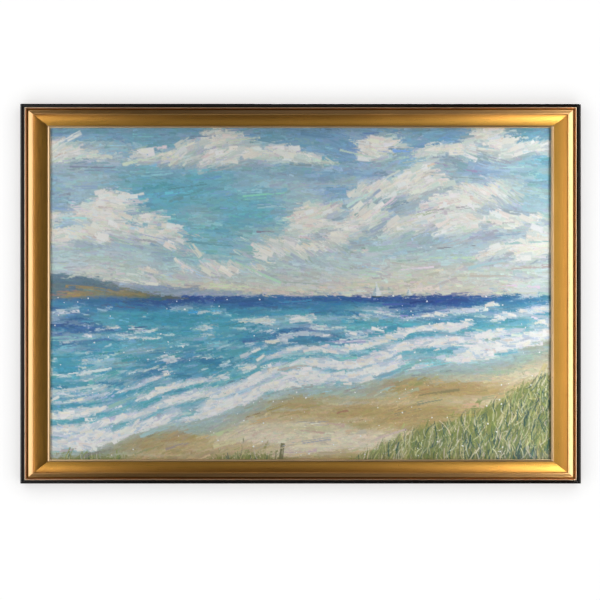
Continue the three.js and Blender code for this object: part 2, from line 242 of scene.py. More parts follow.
class Nodes:
    """A node tree, with short calls that add and join its nodes."""

    def __init__(self, tree):
        self.tree = tree

    def feed(self, socket, value):
        if isinstance(value, bpy.types.NodeSocket):
            self.tree.links.new(value, socket)
        elif value is not None:
            if socket.type == "RGBA" and len(value) == 3:
                value = (*value, 1)
            socket.default_value = value

    def add(self, kind, settings=None, out=0, **values):
        """A new node. values are its inputs by name, with _ for a space, or by place as i0, i1."""
        node = self.tree.nodes.new(kind)
        for key, value in (settings or {}).items():
            setattr(node, key, value)
        for key, value in values.items():
            at = int(key[1:]) if key[0] == "i" and key[1:].isdigit() else key.replace("_", " ")
            self.feed(node.inputs[at], value)
        return node.outputs[out]

    def math(self, operation, a, b=None, c=None, clamp=False):
        return self.add("ShaderNodeMath", {"operation": operation, "use_clamp": clamp}, i0=a, i1=b, i2=c)

    def ease(self, value, low, high, to_low=0.0, to_high=1.0):
        """value eased from low..high to to_low..to_high."""
        settings = {"interpolation_type": "SMOOTHSTEP"}
        return self.add("ShaderNodeMapRange", settings, i0=value, i1=low, i2=high, i3=to_low, i4=to_high)

    def blend(self, a, b, share, way="MIX"):
        """Colour a turned into colour b by share."""
        settings = {"data_type": "RGBA", "blend_type": way}
        return self.add("ShaderNodeMix", settings, out=2, i0=share, i6=a, i7=b)

    def times(self, a, b):
        return self.math("MULTIPLY", a, b)

    def plus(self, a, b):
        return self.math("ADD", a, b)

    def minus(self, a, b, clamp=False):
        return self.math("SUBTRACT", a, b, clamp=clamp)

    def most(self, a, b):
        return self.math("MAXIMUM", a, b)

    def vector(self, x=None, y=None, z=None):
        return self.add("ShaderNodeCombineXYZ", X=x, Y=y, Z=z)

    def random(self, low, high, seed):
        """A number between low and high for each point."""
        out = self.add("FunctionNodeRandomValue", {"data_type": "FLOAT"}, 1, Seed=seed)
        self.feed(out.node.inputs[2], low)
        self.feed(out.node.inputs[3], high)
        return out

    def finish_tree(self, geometry, given, output, smooth=False):
        """The end of every Geometry Nodes tree: real meshes in the finish that was given."""
        made = self.add("GeometryNodeRealizeInstances", None, 0, Geometry=geometry)
        if smooth:
            made = self.add("GeometryNodeSetShadeSmooth", None, 0, Geometry=made)
        made = self.add("GeometryNodeSetMaterial", None, 0, Geometry=made, Material=given["Finish"])
        self.feed(output.inputs[0], made)

    def group(self, tree, **values):
        return self.add("ShaderNodeGroup", {"node_tree": tree}, 0, **values)

    def blend_value(self, a, b, share):
        """Value a turned into value b by share."""
        return self.add("ShaderNodeMix", None, 0, i0=share, i2=a, i3=b)

    def ramp_of(self, value, *stops):
        """A colour ramp over value. stops are (place, stored colour) in order."""
        out = self.add("ShaderNodeValToRGB", None, 0, Fac=value)
        elements = out.node.color_ramp.elements
        while len(elements) < len(stops):
            elements.new(1.0)
        for element, (place, colour) in zip(elements, stops):
            element.position = place
            element.color = (*linear(colour), 1)
        return out

    def noise(self, vector, scale, detail=3.0, roughness=0.5, distortion=0.0):
        return self.add(
            "ShaderNodeTexNoise", None, 0, Vector=vector, Scale=scale, Detail=detail,
            Roughness=roughness, Distortion=distortion,
        )

    def scaled(self, vector, scale):
        return self.add("ShaderNodeMapping", None, 0, Vector=vector, Scale=scale)

    def attribute(self, name, out=2):
        return self.add("ShaderNodeAttribute", {"attribute_name": name}, out)

    def position(self):
        return self.add("ShaderNodeTexCoord", None, 3)

    def bump(self, height, distance, strength=1.0, normal=None):
        return self.add(
            "ShaderNodeBump", None, 0, Height=height, Distance=distance, Strength=strength, Normal=normal
        )


def linear(colour):
    """A stored colour as the shaders take it."""
    return [c / 12.92 if c <= 0.04045 else ((c + 0.055) / 1.055) ** 2.4 for c in colour]


def toned(colour, share):
    """A stored colour as the shaders take it, made lighter or darker by share."""
    return [c * share for c in linear(colour)]


def material(name):
    """A new material with only its Principled BSDF and output, as (material, nodes, shader)."""
    made = bpy.data.materials.new(name)
    made.use_nodes = True
    tree = made.node_tree
    return made, Nodes(tree), tree.nodes["Principled BSDF"]


def node_group(name, inputs, outputs, kind="ShaderNodeTree"):
    """A new node group, as (group, nodes, its inputs by name, its output node)."""
    group = bpy.data.node_groups.new(name, kind)
    for title, socket_kind, default in inputs:
        socket = group.interface.new_socket(title, in_out="INPUT", socket_type=socket_kind)
        if default is not None:
            socket.default_value = default
    for title, socket_kind in outputs:
        group.interface.new_socket(title, in_out="OUTPUT", socket_type=socket_kind)
    nodes = Nodes(group)
    entry = group.nodes.new("NodeGroupInput")
    given = {socket.name: socket for socket in entry.outputs}
    return group, nodes, given, group.nodes.new("NodeGroupOutput")


# ---- Mesh building ----------------------------------------------------------------------------------


def link(piece):
    bpy.context.scene.collection.objects.link(piece)
    return piece


def mesh_of(name, points, edges=(), faces=()):
    mesh = bpy.data.meshes.new(name)
    mesh.from_pydata([tuple(p) for p in points], edges, faces)
    mesh.update()
    return mesh


def shaded(mesh, angle=35.0):
    """Smooth shading, with edges sharper than angle kept crisp."""
    mesh.shade_smooth()
    mesh.set_sharp_from_angle(angle=math.radians(angle))
    return mesh


def grown(name, start_mesh, tree, values):
    """The plain mesh that a Geometry Nodes tree makes of start_mesh, with its inputs set by name."""
    source = link(bpy.data.objects.new(name + "_source", start_mesh))
    modifier = source.modifiers.new("grow", "NODES")
    modifier.node_group = tree
    sockets = {s.name: s.identifier for s in tree.interface.items_tree if s.in_out == "INPUT"}
    for title, value in values.items():
        modifier[sockets[title]] = value
    bpy.context.view_layer.update()
    evaluated = source.evaluated_get(bpy.context.evaluated_depsgraph_get())
    mesh = bpy.data.meshes.new_from_object(evaluated)
    mesh.name = name
    bpy.data.objects.remove(source)
    return mesh


def piece_of(name, mesh, slot, *nodes, finish=None):
    """A finished piece of the object that stands for those CAD nodes."""
    piece = link(bpy.data.objects.new(name, mesh))
    if finish:
        mesh.materials.clear()
        mesh.materials.append(finish)
    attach(piece, "root")
    if nodes:
        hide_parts(*nodes)
    return piece


# ---- Studio -----------------------------------------------------------------------------------------


def one_sided(name, colour, glow):
    """A stage material that is seen from its front only."""
    made, nodes, shader = material(name)
    mottle = nodes.noise(nodes.position(), 3.0, 3)
    tint = nodes.blend(toned(colour, 0.985), linear(colour), mottle)
    nodes.feed(shader.inputs["Base Color"], tint)
    nodes.feed(shader.inputs["Emission Color"], tint)
    shader.inputs["Emission Strength"].default_value = glow
    shader.inputs["Roughness"].default_value = 0.9
    clear = nodes.add("ShaderNodeBsdfTransparent")
    back = nodes.add("ShaderNodeNewGeometry", None, 6)
    both = nodes.add("ShaderNodeMixShader", None, 0, i0=back, i1=shader.outputs[0], i2=clear)
    output = next(n for n in nodes.tree.nodes if n.type == "OUTPUT_MATERIAL")
    nodes.feed(output.inputs["Surface"], both)
    return made


def panel_lamp(name, place, aim, size, power, colour=(1, 1, 1)):
    data = bpy.data.lights.new(name, "AREA")
    data.shape = "RECTANGLE"
    data.size, data.size_y = size
    data.energy = power
    data.color = colour
    lamp = link(bpy.data.objects.new(name, data))
    lamp.location = place
    lamp.rotation_euler = (Vector(aim) - Vector(place)).to_track_quat("-Z", "Y").to_euler()
    return lamp


class SCENE_OT_studio_stage(bpy.types.Operator):
    """Sets the camera, the wall, the floor and the lamps"""

    bl_idname = "framed_seascape.studio_stage"
    bl_label = "Studio stage"

    def execute(self, context):
        s = context.scene.framed_seascape.studio
        self.camera(context, s)
        wall = self.stage_plane("wall", Vector((0, 0.0006, MIDDLE.z)), (14, 10), (math.pi / 2, 0, 0))
        wall.data.materials.append(one_sided("wall_paint", s.wall, 0.40))
        floor = self.stage_plane("floor", Vector((0, -5, MIDDLE.z - s.floor_drop)), (14, 10), (0, 0, 0))
        floor.data.materials.append(one_sided("pale_floor", s.floor, 0.8))
        self.lamps(context, s, wall)
        return {"FINISHED"}

    def camera(self, context, s):
        data = bpy.data.cameras.new("camera")
        data.lens = s.lens
        camera = link(bpy.data.objects.new("camera", data))
        outer_edge = FRAME_BACK - 0.026
        camera.location = (-0.0011, outer_edge - s.camera_distance, MIDDLE.z - s.camera_drop)
        camera.rotation_euler = (math.pi / 2, 0, 0)
        context.scene.camera = camera
        context.scene.view_settings.view_transform = "Standard"

    def stage_plane(self, name, place, size, turn):
        x, y = size[0] / 2, size[1] / 2
        mesh = mesh_of(name, [(-x, -y, 0), (x, -y, 0), (x, y, 0), (-x, y, 0)], (), [(0, 1, 2, 3)])
        plane = link(bpy.data.objects.new(name, mesh))
        plane.location = place
        plane.rotation_euler = turn
        plane.visible_diffuse = False
        plane.visible_glossy = False
        plane.visible_transmission = False
        plane.visible_shadow = False
        return plane

    def lamps(self, context, s, wall):
        world = bpy.data.worlds.new("room")
        world.use_nodes = True
        n = Nodes(world.node_tree)
        room = world.node_tree.nodes["Background"]
        room.inputs[0].default_value = (1.0, 0.8, 0.6, 1)
        room.inputs[1].default_value = s.ambient
        seen = n.add("ShaderNodeBackground", None, 0, Color=(1, 1, 1), Strength=1.0)
        by_camera = n.add("ShaderNodeLightPath")
        both = n.add("ShaderNodeMixShader", None, 0, i0=by_camera, i1=room.outputs[0], i2=seen)
        n.feed(world.node_tree.nodes["World Output"].inputs["Surface"], both)
        context.scene.world = world
        m = MIDDLE
        not_wall = self.share("lit_by_panels", wall, "EXCLUDE")
        tall, corner, wide = (0.35, 1.3), (0.6, 0.35), (1.2, 0.6)
        for name, place, aim, size, power in (
            ("left_near", (-0.80, -0.50, m.z), (0, 0, m.z), (0.25, 1.1), s.left_light),
            ("left_far", (-0.95, -1.05, m.z), (-0.1, 0, m.z), tall, s.left_light),
            ("left_wide", (-1.30, -0.80, m.z), (-0.1, 0, m.z), tall, s.left_light),
            ("left_front", (-0.70, -1.70, m.z), (0, 0, m.z), tall, s.left_light),
            ("right_near", (0.75, -0.35, m.z), (0.2, 0, m.z), (0.20, 1.1), s.right_light),
            ("high_right", (0.95, -0.45, m.z + 1.15), (0.3, 0, m.z), corner, s.right_corners),
            ("low_right", (0.95, -0.45, m.z - 1.15), (0.3, 0, m.z), corner, s.right_corners),
            ("high_left", (-0.95, -0.45, m.z + 1.15), (-0.3, 0, m.z), corner, s.left_corners),
            ("low_left", (-0.95, -0.45, m.z - 1.15), (-0.3, 0, m.z), corner, s.left_corners),
            ("overhead", (0.3, -1.2, m.z + 1.6), (0, 0, m.z), wide, s.high_and_low),
            ("underneath", (0.3, -1.2, m.z - 1.6), (0, 0, m.z), wide, s.high_and_low),
            ("front", (0, -2.6, m.z), (0, 0, m.z), (0.8, 0.8), s.front),
            ("back_fill", (0.6, 2.6, m.z + 1.0), (0, 0, m.z), (1.5, 1.5), s.back_fill),
        ):
            panel_lamp(name, place, aim, size, power).light_linking.receiver_collection = not_wall
        wash = panel_lamp("wall_wash", (0, -2.4, m.z), (0, 0, m.z), (7, 7), s.wall_wash)
        wash.light_linking.receiver_collection = self.share("lit_by_wall_wash", wall, "INCLUDE")

    def share(self, name, piece, state):
        """A list of what a lamp lights: that piece alone, or all but that piece."""
        lit = bpy.data.collections.new(name)
        lit.objects.link(piece)
        lit.collection_objects[0].light_linking.link_state = state
        return lit


# ---- Gilt mouldings ---------------------------------------------------------------------------------


def curve_through(start, pull, end, steps):
    """Points of a curve that leaves start towards pull and reaches end from it, without start."""
    t = np.linspace(0, 1, steps + 1)[1:, None]
    a, b, c = (np.array(p, float) for p in (start, pull, end))
    return [tuple(p) for p in (1 - t) ** 2 * a + 2 * t * (1 - t) * b + t**2 * c]


def moulding_profile(s, width):
    """The moulding's section as (height above the back, distance in from the outer edge)."""
    depth = FRAME_BACK - FRAME_FRONT
    wall_top, foot, quirk, underside, nose = 0.026, 0.0288, 0.0274, 0.021, 0.025
    chamfer = 0.001
    points = [(chamfer, 0)]
    for pull, end, steps in (
        ((wall_top, 0), (wall_top, 0), 1),
        ((s.bead, 0), (s.bead, 0.055), 10),
        ((s.bead, 0.108), (quirk, 0.108), 10),
        ((quirk, 0.142), (quirk, 0.142), 2),
        ((s.fillet, 0.142), (s.fillet, 0.167), 8),
        ((s.fillet, 0.192), (foot, 0.192), 8),
        ((foot, 0.202), (foot, 0.202), 1),
        ((0.0342, 0.210), (0.0364, 0.262), 10),
        ((0.0373, 0.280), (0.0378, 0.305), 6),
        ((0.0390, 0.395), (0.0393, 0.420), 6),
        ((depth, 0.445), (depth, 0.457), 8),
        ((depth, 0.468), (s.shoulder, 0.49), 10),
        ((0.030, 0.70), (0.0256, 0.922), 26),
        ((s.lip, 0.922), (s.lip, 0.96), 8),
        ((s.lip, 1.0), (nose, 1.0), 8),
        ((underside, 1.0), (underside, 1.0), 1),
        ((underside, s.rebate), (underside, s.rebate), 1),
        ((0, s.rebate), (0, s.rebate), 1),
        ((0, 0.5), (0, chamfer / width), 1),
    ):
        points += [end] if steps == 1 else curve_through(points[-1], pull, end, steps)
    return [(height, inset * width) for height, inset in points]


def moulding_tree():
    """Geometry Nodes: a profile, run along x, mitred, and set in its place on the frame."""
    group, g, given, output = node_group(
        "Mitred moulding",
        [
            ("Profile", "NodeSocketGeometry", None),
            ("Length", "NodeSocketFloat", 1.0),
            ("Width", "NodeSocketFloat", 0.05),
            ("End run", "NodeSocketFloat", 0.05),
            ("Stations", "NodeSocketInt", 60),
            ("Ripple", "NodeSocketFloat", 0.0),
            ("Turn", "NodeSocketVector", None),
            ("Place", "NodeSocketVector", None),
            ("Finish", "NodeSocketMaterial", None),
        ],
        [("Moulding", "NodeSocketGeometry")],
        "GeometryNodeTree",
    )
    half = g.times(given["Length"], 0.5)
    start = g.vector(x=g.times(half, -1.0))
    end = g.vector(x=half)
    path = g.add("GeometryNodeCurvePrimitiveLine", None, 0, Start=start, End=end)
    path = g.add("GeometryNodeResampleCurve", None, 0, Curve=path, Count=given["Stations"])
    path = g.add("GeometryNodeSetCurveNormal", {"mode": "Z_UP"}, 0, Curve=path)
    section = g.add("GeometryNodeMeshToCurve", None, 0, Mesh=given["Profile"])
    bar = g.add("GeometryNodeCurveToMesh", None, 0, Curve=path, Profile_Curve=section, Fill_Caps=True)
    bar = g.add("GeometryNodeMergeByDistance", None, 0, Geometry=bar, Distance=1e-6)
    place = g.add("ShaderNodeSeparateXYZ", None, 0, Vector=g.add("GeometryNodeInputPosition"))
    x, y, z = place.node.outputs
    for title, value in (("inset", g.math("DIVIDE", z, given["Width"])), ("height", y)):
        bar = g.add(
            "GeometryNodeStoreNamedAttribute", {"data_type": "FLOAT", "domain": "POINT"}, 0,
            Geometry=bar, Name=title, Value=g.times(value, -1.0),
        )
    shrink = g.math("DIVIDE", g.times(g.math("DIVIDE", z, given["Width"]), given["End run"]), half)
    shift = g.vector(x=g.times(x, shrink))
    bar = g.add("GeometryNodeSetPosition", None, 0, Geometry=bar, Offset=shift)
    along = g.add("ShaderNodeSeparateXYZ", None, 0, Vector=g.add("GeometryNodeInputPosition"))
    bar = g.add(
        "GeometryNodeStoreNamedAttribute", {"data_type": "FLOAT", "domain": "POINT"}, 0,
        Geometry=bar, Name="along", Value=along,
    )
    uneven = g.noise(g.add("GeometryNodeInputPosition"), 22.0, 2)
    rise = g.times(g.minus(uneven, 0.5), given["Ripple"])
    normal = g.add("GeometryNodeInputNormal")
    push = g.add("ShaderNodeVectorMath", {"operation": "SCALE"}, 0, i0=normal, Scale=rise)
    bar = g.add("GeometryNodeSetPosition", None, 0, Geometry=bar, Offset=push)
    bar = g.add(
        "GeometryNodeTransform", None, 0, Geometry=bar, Rotation=given["Turn"], Translation=given["Place"]
    )
    g.finish_tree(bar, given, output)
    return group


def gilt_and_black(s):
    """Satin gilding, an ebonised outer edge and bare wood behind, told apart by place on the profile."""
    made, n, shader = material("gilt_and_black")
    inset, height, along = n.attribute("inset"), n.attribute("height"), n.attribute("along")
    lengthwise = n.vector(x=n.times(along, 6.0), y=n.times(inset, 60.0))
    streaks = n.noise(lengthwise, 2.2, 4, 0.6)
    fine = n.vector(x=n.times(along, 22.0), y=n.times(inset, 260.0))
    hairlines = n.noise(fine, 1.6, 2, 0.5)
    cloudy = n.noise(n.position(), 9.0, 3)
    flecks = n.noise(n.position(), 420.0, 2, 0.7)

    # Painted light and shade: the gilding's tone steps across the profile. The fillet, lip, crest and lower
    # scoop are paler and the side is amber, as painted light. The foot and the upper scoop are darker, as
    # painted shade.
    gilt = n.ramp_of(
        inset,
        (0.165, s.gilt_fillet), (0.195, s.gilt_fillet), (0.205, s.gilt_side), (0.262, s.gilt_side),
        (0.285, s.gilt_foot), (0.330, s.gilt_crest), (0.390, s.gilt_crest), (0.445, s.gilt_turn),
        (0.500, s.gilt_deep), (0.800, s.gilt_scoop), (0.885, s.gilt_scoop), (0.930, s.gilt_lip),
    )
    gilt = n.blend(
        gilt, n.blend(gilt, (0.80, 0.72, 0.60), 1.0, "MULTIPLY"), n.ease(streaks, 0.42, 0.75, 0, 0.7)
    )
    gilt = n.blend(gilt, n.blend(gilt, (1.12, 1.12, 1.12), 1.0, "MULTIPLY"), n.ease(cloudy, 0.5, 0.8))
    grime = 0.0
    for at, breadth, depth in ((s.black_edge, 0.006, 0.7), (0.197, 0.008, 0.9), (0.916, 0.010, 0.75)):
        off = n.math("ABSOLUTE", n.minus(inset, at))
        grime = n.most(grime, n.ease(off, breadth, 0.0, 0.0, depth))
    worn = n.times(n.ease(flecks, 0.66, 0.72), n.ease(cloudy, 0.5, 0.65))
    grime = n.most(grime, n.times(worn, 0.6))
    gilt = n.blend(gilt, linear(s.bole), grime)

    black = n.blend(linear(s.black), toned(s.black, 2.2), n.ease(streaks, 0.4, 0.8))
    ragged = n.plus(inset, n.times(n.minus(hairlines, 0.5), 0.004))
    is_black = n.ease(ragged, s.black_edge + 0.001, s.black_edge - 0.001)
    grain = n.noise(
        n.vector(x=n.times(along, 9.0), y=n.times(inset, 30.0), z=n.times(height, 400.0)), 2.0, 4, 0.6, 0.4
    )
    wood = n.blend(toned(s.bare_wood, 0.62), linear(s.bare_wood), n.ease(grain, 0.3, 0.7))
    behind = n.ease(height, 0.0012, 0.0007)
    in_rebate = n.times(n.ease(inset, s.rebate - 0.004, s.rebate - 0.002), n.ease(height, 0.02115, 0.02105))
    is_wood = n.most(behind, in_rebate)

    colour = n.blend(n.blend(gilt, black, is_black), wood, is_wood)
    n.feed(shader.inputs["Base Color"], colour)
    metal = n.minus(1.0, n.most(is_black, is_wood), clamp=True)
    metal = n.times(metal, n.ease(grime, 0.0, 1.0, 1.0, 0.55))
    n.feed(shader.inputs["Metallic"], metal)
    rough = n.ease(streaks, 0.3, 0.7, 0.27, 0.36)
    rough = n.plus(rough, n.times(grime, 0.15))
    rough = n.blend_value(rough, 0.2, is_black)
    rough = n.most(rough, n.times(is_wood, 0.8))
    n.feed(shader.inputs["Roughness"], rough)
    shine = n.times(n.ease(inset, 0.27, 0.32), n.ease(inset, 0.50, 0.44))
    shine = n.most(shine, n.times(n.ease(inset, 0.140, 0.146), n.ease(inset, 0.20, 0.19)))
    shine = n.most(shine, n.ease(inset, 0.915, 0.935, 0.0, 0.9))
    n.feed(shader.inputs["Coat Weight"], n.times(shine, n.ease(is_wood, 0.0, 1.0, 1.0, 0.0)))
    shader.inputs["Coat Roughness"].default_value = 0.25
    shader.inputs["Coat IOR"].default_value = 2.0
    relief = n.plus(n.times(streaks, 0.6), n.times(hairlines, 0.4))
    relief = n.plus(relief, n.times(grain, n.times(is_wood, 2.0)))
    n.feed(shader.inputs["Normal"], n.bump(relief, 0.00006, 0.6))
    return made


class SCENE_OT_gilt_mouldings(bpy.types.Operator):
    """Runs the four gilt mouldings round the frame, mitred at the corners"""

    bl_idname = "framed_seascape.gilt_mouldings"
    bl_label = "Gilt mouldings"

    def execute(self, context):
        s = context.scene.framed_seascape.moulding
        tree = moulding_tree()
        finish = gilt_and_black(s)
        mitre_gap = 0.0003
        for i, side in enumerate(SIDES):
            is_rail = side in ("top", "bottom")
            width, run = (RAIL_WIDTH, STILE_WIDTH) if is_rail else (STILE_WIDTH, RAIL_WIDTH)
            length = (FRAME_WIDTH if is_rail else FRAME_HEIGHT) - mitre_gap
            profile = moulding_profile(s, width)
            ring = [(k, (k + 1) % len(profile)) for k in range(len(profile))]
            start = mesh_of("profile", [(h, d, 0) for h, d in profile], ring)
            x = {"left": FRAME_LEFT, "right": FRAME_RIGHT}.get(side, 0)
            z = {"top": FRAME_TOP, "bottom": FRAME_BOTTOM}.get(side, MIDDLE.z)
            mesh = grown(
                f"moulding_{side}", start, tree,
                {
                    "Length": length, "Width": width, "End run": run, "Stations": 61, "Ripple": s.ripple,
                    "Turn": (0, i * math.pi / 2, 0), "Place": (x, FRAME_BACK, z), "Finish": finish,
                },
            )
            shaded(mesh, 40)
            piece_of(f"moulding_{side}", mesh, "gilt_moulding", MOULDING_NODES[side])
        return {"FINISHED"}


# ---- The painted seascape ---------------------------------------------------------------------------

UNDER_LIP = 0.003
COLS, ROWS, BANDS = 820, 546, 5
CELL = (SIGHT_WIDTH + 2 * UNDER_LIP) / (COLS - 1) / MM


def ramp(low, high, value):
    """0 below low, 1 above high, eased between them."""
    t = np.clip((value - low) / (high - low), 0, 1)
    return t * t * (3 - 2 * t)


def mix(a, b, share):
    """Colour a turned into colour b by share, for one colour or a whole field."""
    share = np.asarray(share)
    if share.ndim == 2:
        share = share[..., None]
    return a + (b - a) * share


def soft_noise(rng, rows, cols, shape, octaves=4):
    """Smooth noise from 0 to 1, rows by cols at its coarsest."""
    total, weight, out = 0.0, 1.0, 0.0
    for octave in range(octaves):
        r, c = rows * 2**octave, cols * 2**octave
        grid = rng.random((r + 2, c + 2))
        y, x = np.linspace(0, r, shape[0]), np.linspace(0, c, shape[1])
        iy, ix = y.astype(int), x.astype(int)
        fy, fx = ramp(0, 1, y - iy)[:, None], ramp(0, 1, x - ix)[None, :]
        upper = grid[np.ix_(iy, ix)] * (1 - fx) + grid[np.ix_(iy, ix + 1)] * fx
        lower = grid[np.ix_(iy + 1, ix)] * (1 - fx) + grid[np.ix_(iy + 1, ix + 1)] * fx
        out = out + weight * (upper * (1 - fy) + lower * fy)
        total += weight
        weight *= 0.5
    return out / total


def heap_cloud(rng, light, cover, at, spread, lift, count, size):
    """Heaps soft round puffs into a cloud bank, filling in how lit and how solid each cell is."""
    rows, cols = cover.shape
    for nearness in np.sort(rng.random(count)):
        across = rng.normal(0, spread) * (0.45 + 0.55 * nearness)
        rise = abs(rng.normal(0, lift)) * (1 - nearness) * math.exp(-0.7 * (across / spread) ** 2)
        r = size * rng.uniform(0.45, 1.15) * (1 - 0.17 * abs(across) / spread)
        x, y = at[0] + across, at[1] - rise
        x1, x2 = max(int((x - r) * cols) - 1, 0), min(int((x + r) * cols) + 2, cols)
        y1, y2 = max(int((y - 0.8 * r) * cols) - 1, 0), min(int((y + 0.8 * r) * cols) + 2, rows)
        if x2 <= x1 or y2 <= y1:
            continue
        dx = (np.arange(x1, x2)[None, :] / cols - x) / r
        dy = (np.arange(y1, y2)[:, None] / cols - y) / (0.8 * r)
        solid = ramp(1.0, 0.55, dx * dx + dy * dy) * ramp(0.75, 0.15, dy)
        lit = np.clip(0.62 - 0.3 * dx - 0.62 * dy, 0, 1) * rng.uniform(0.75, 1)
        spot = (slice(y1, y2), slice(x1, x2))
        light[spot] = light[spot] * (1 - solid) + lit * solid
        cover[spot] = np.maximum(cover[spot], solid)


def composition(rng, hue, horizon):
    """The picture in mind: colour, stroke direction, detail and thickness for each cell, and its masks."""
    shape = (ROWS, COLS)
    v, u = np.mgrid[0:ROWS, 0:COLS] / np.array([ROWS - 1, COLS - 1])[:, None, None]
    broad = soft_noise(rng, 4, 5, shape)
    wide = soft_noise(rng, 14, 4, shape)
    fine = soft_noise(rng, 60, 24, shape, 3)
    streak = soft_noise(rng, 110, 10, shape, 3)
    flat_streak = wide - 0.5

    # Sky: pale haze with turquoise and periwinkle openings, warmer towards the horizon
    h = np.clip(v / horizon, 0, 1)
    colour = mix(hue["zenith"], hue["haze"], ramp(0.0, 0.5, h + flat_streak * 0.6))
    opening = np.exp(-(((u - 0.34) / 0.17) ** 2) - ((h - 0.42) / 0.24) ** 2) * 0.22
    colour = mix(colour, hue["turquoise"], ramp(0.50, 0.76, broad + opening + flat_streak * 0.3) * 0.75)
    colour = mix(colour, hue["periwinkle"], ramp(0.55, 0.8, 1 - broad + flat_streak * 0.5) * 0.75)
    colour = mix(colour, hue["low_sky"], ramp(0.55, 0.95, h + flat_streak * 0.35) * 0.85)
    warmth = ramp(0.68, 1.0, h + flat_streak * 0.4) * ramp(0.35, 0.75, broad + 0.25 * (1 - u))
    colour = mix(colour, hue["peach"], warmth * 0.75)

    light, cover = np.full(shape, 0.5), np.zeros(shape)
    for at, spread, lift, count, size in (
        ((0.74, 0.215), 0.160, 0.12, 50, 0.060),
        ((0.52, 0.255), 0.090, 0.04, 22, 0.036),
        ((0.11, 0.235), 0.110, 0.07, 34, 0.046),
        ((0.97, 0.265), 0.060, 0.05, 16, 0.040),
        ((0.33, 0.070), 0.140, 0.035, 26, 0.040),
        ((0.90, 0.060), 0.100, 0.030, 18, 0.036),
        ((0.31, 0.292), 0.090, 0.018, 18, 0.022),
        ((0.04, 0.065), 0.070, 0.030, 12, 0.034),
    ):
        heap_cloud(rng, light, cover, at, spread, lift, count, size)
    sway = (soft_noise(rng, 12, 18, shape, 4) - 0.5) * 34
    heave = (soft_noise(rng, 12, 18, shape, 4) - 0.5) * 22
    rows = np.clip(np.arange(ROWS)[:, None] + heave, 0, ROWS - 1).astype(int)
    cols = np.clip(np.arange(COLS)[None, :] + sway, 0, COLS - 1).astype(int)
    light, cover = light[rows, cols], cover[rows, cols]
    cloud = np.clip(cover * 1.35 - 0.30 * (1 - fine) - 0.22 * (1 - wide), 0, 1)
    puffs = mix(hue["cloud_shade"], hue["cloud_lilac"], ramp(0.3, 0.7, broad))
    puffs = mix(puffs, hue["cloud_cream"], ramp(0.28, 0.62, light + (fine - 0.5) * 0.25))
    puffs = mix(puffs, hue["cloud_lit"], ramp(0.55, 0.85, light + (fine - 0.5) * 0.3))
    colour = mix(colour, puffs, cloud)
    veil = ramp(0.50, 0.70, streak * 0.5 + wide * 0.55) * ramp(0.99, 0.6, h) * (1 - cloud)
    colour = mix(colour, mix(hue["cloud_cream"], hue["cloud_lilac"], ramp(0.4, 0.6, fine)), veil * 0.6)

    # Sea: dark at the horizon, paler and greener towards the shore, with white caps
    depth = np.clip((v - horizon) / (1 - horizon), 0, 1)
    shore = 0.30 + 0.62 * (1 - ramp(-0.10, 1.05, u)) + 0.035 * np.sin(u * 9 + 1.0) + 0.02 * np.sin(u * 23)
    to_shore = shore - depth + flat_streak * 0.03
    sea = mix(hue["offing"], hue["deep"], ramp(0.0, 0.13, depth + (streak - 0.5) * 0.1))
    sea = mix(
        sea, hue["ultramarine"], ramp(0.52, 0.75, wide + 0.1 * (1 - depth)) * 0.6 * ramp(0.85, 0.1, depth)
    )
    sea = mix(sea, hue["teal"], ramp(0.46, 0.66, streak * 0.6 + fine * 0.45) * 0.75 * ramp(0.0, 0.15, depth))
    sea = mix(sea, hue["teal"], ramp(0.34, 0.10, to_shore + (streak - 0.5) * 0.22))
    sea = mix(sea, hue["shallow"], ramp(0.17, 0.03, to_shore + (streak - 0.5) * 0.12) * 0.9)
    sea = mix(
        sea, hue["foam_lilac"],
        ramp(0.56, 0.72, soft_noise(rng, 70, 9, shape, 3)) * 0.6 * ramp(0, 0.1, depth)
    )
    caps = ramp(0.64, 0.69, soft_noise(rng, 90, 26, shape, 3)) * ramp(0.02, 0.12, depth)
    sea = mix(sea, hue["foam"], caps * 0.9)
    # Low foam lines side by side with the shore
    lilt = 0.012 * np.sin(u * 31 + 2) + 0.04 * (soft_noise(rng, 3, 9, shape, 3) - 0.5)
    foam = np.zeros(shape)
    for offset, strength, breadth in (
        (0.035, 1.0, 0.032), (0.115, 0.95, 0.026), (0.21, 0.8, 0.019), (0.30, 0.55, 0.013)
    ):
        ahead = to_shore - offset + lilt
        broken = ramp(0.25, 0.5, soft_noise(rng, 5, 14, shape))
        line = np.exp(-((np.maximum(ahead, 0) / (breadth * 1.7)) ** 2)) * ramp(-breadth * 0.9, 0.0, ahead)
        foam = np.maximum(foam, line * broken * strength)
        trough = np.exp(-(((ahead + breadth * 1.3) / breadth) ** 2)) * strength * broken
        sea = mix(sea, hue["deep"], trough * 0.55)
    wash = ramp(0.12, 0.0, to_shore) * ramp(0.38, 0.6, soft_noise(rng, 40, 16, shape, 3))
    foam = np.maximum(foam, wash * 0.9)
    sea = mix(sea, hue["foam_lilac"], ramp(0.12, 0.45, foam))
    sea = mix(sea, hue["foam"], ramp(0.4, 0.75, foam + (fine - 0.5) * 0.3))

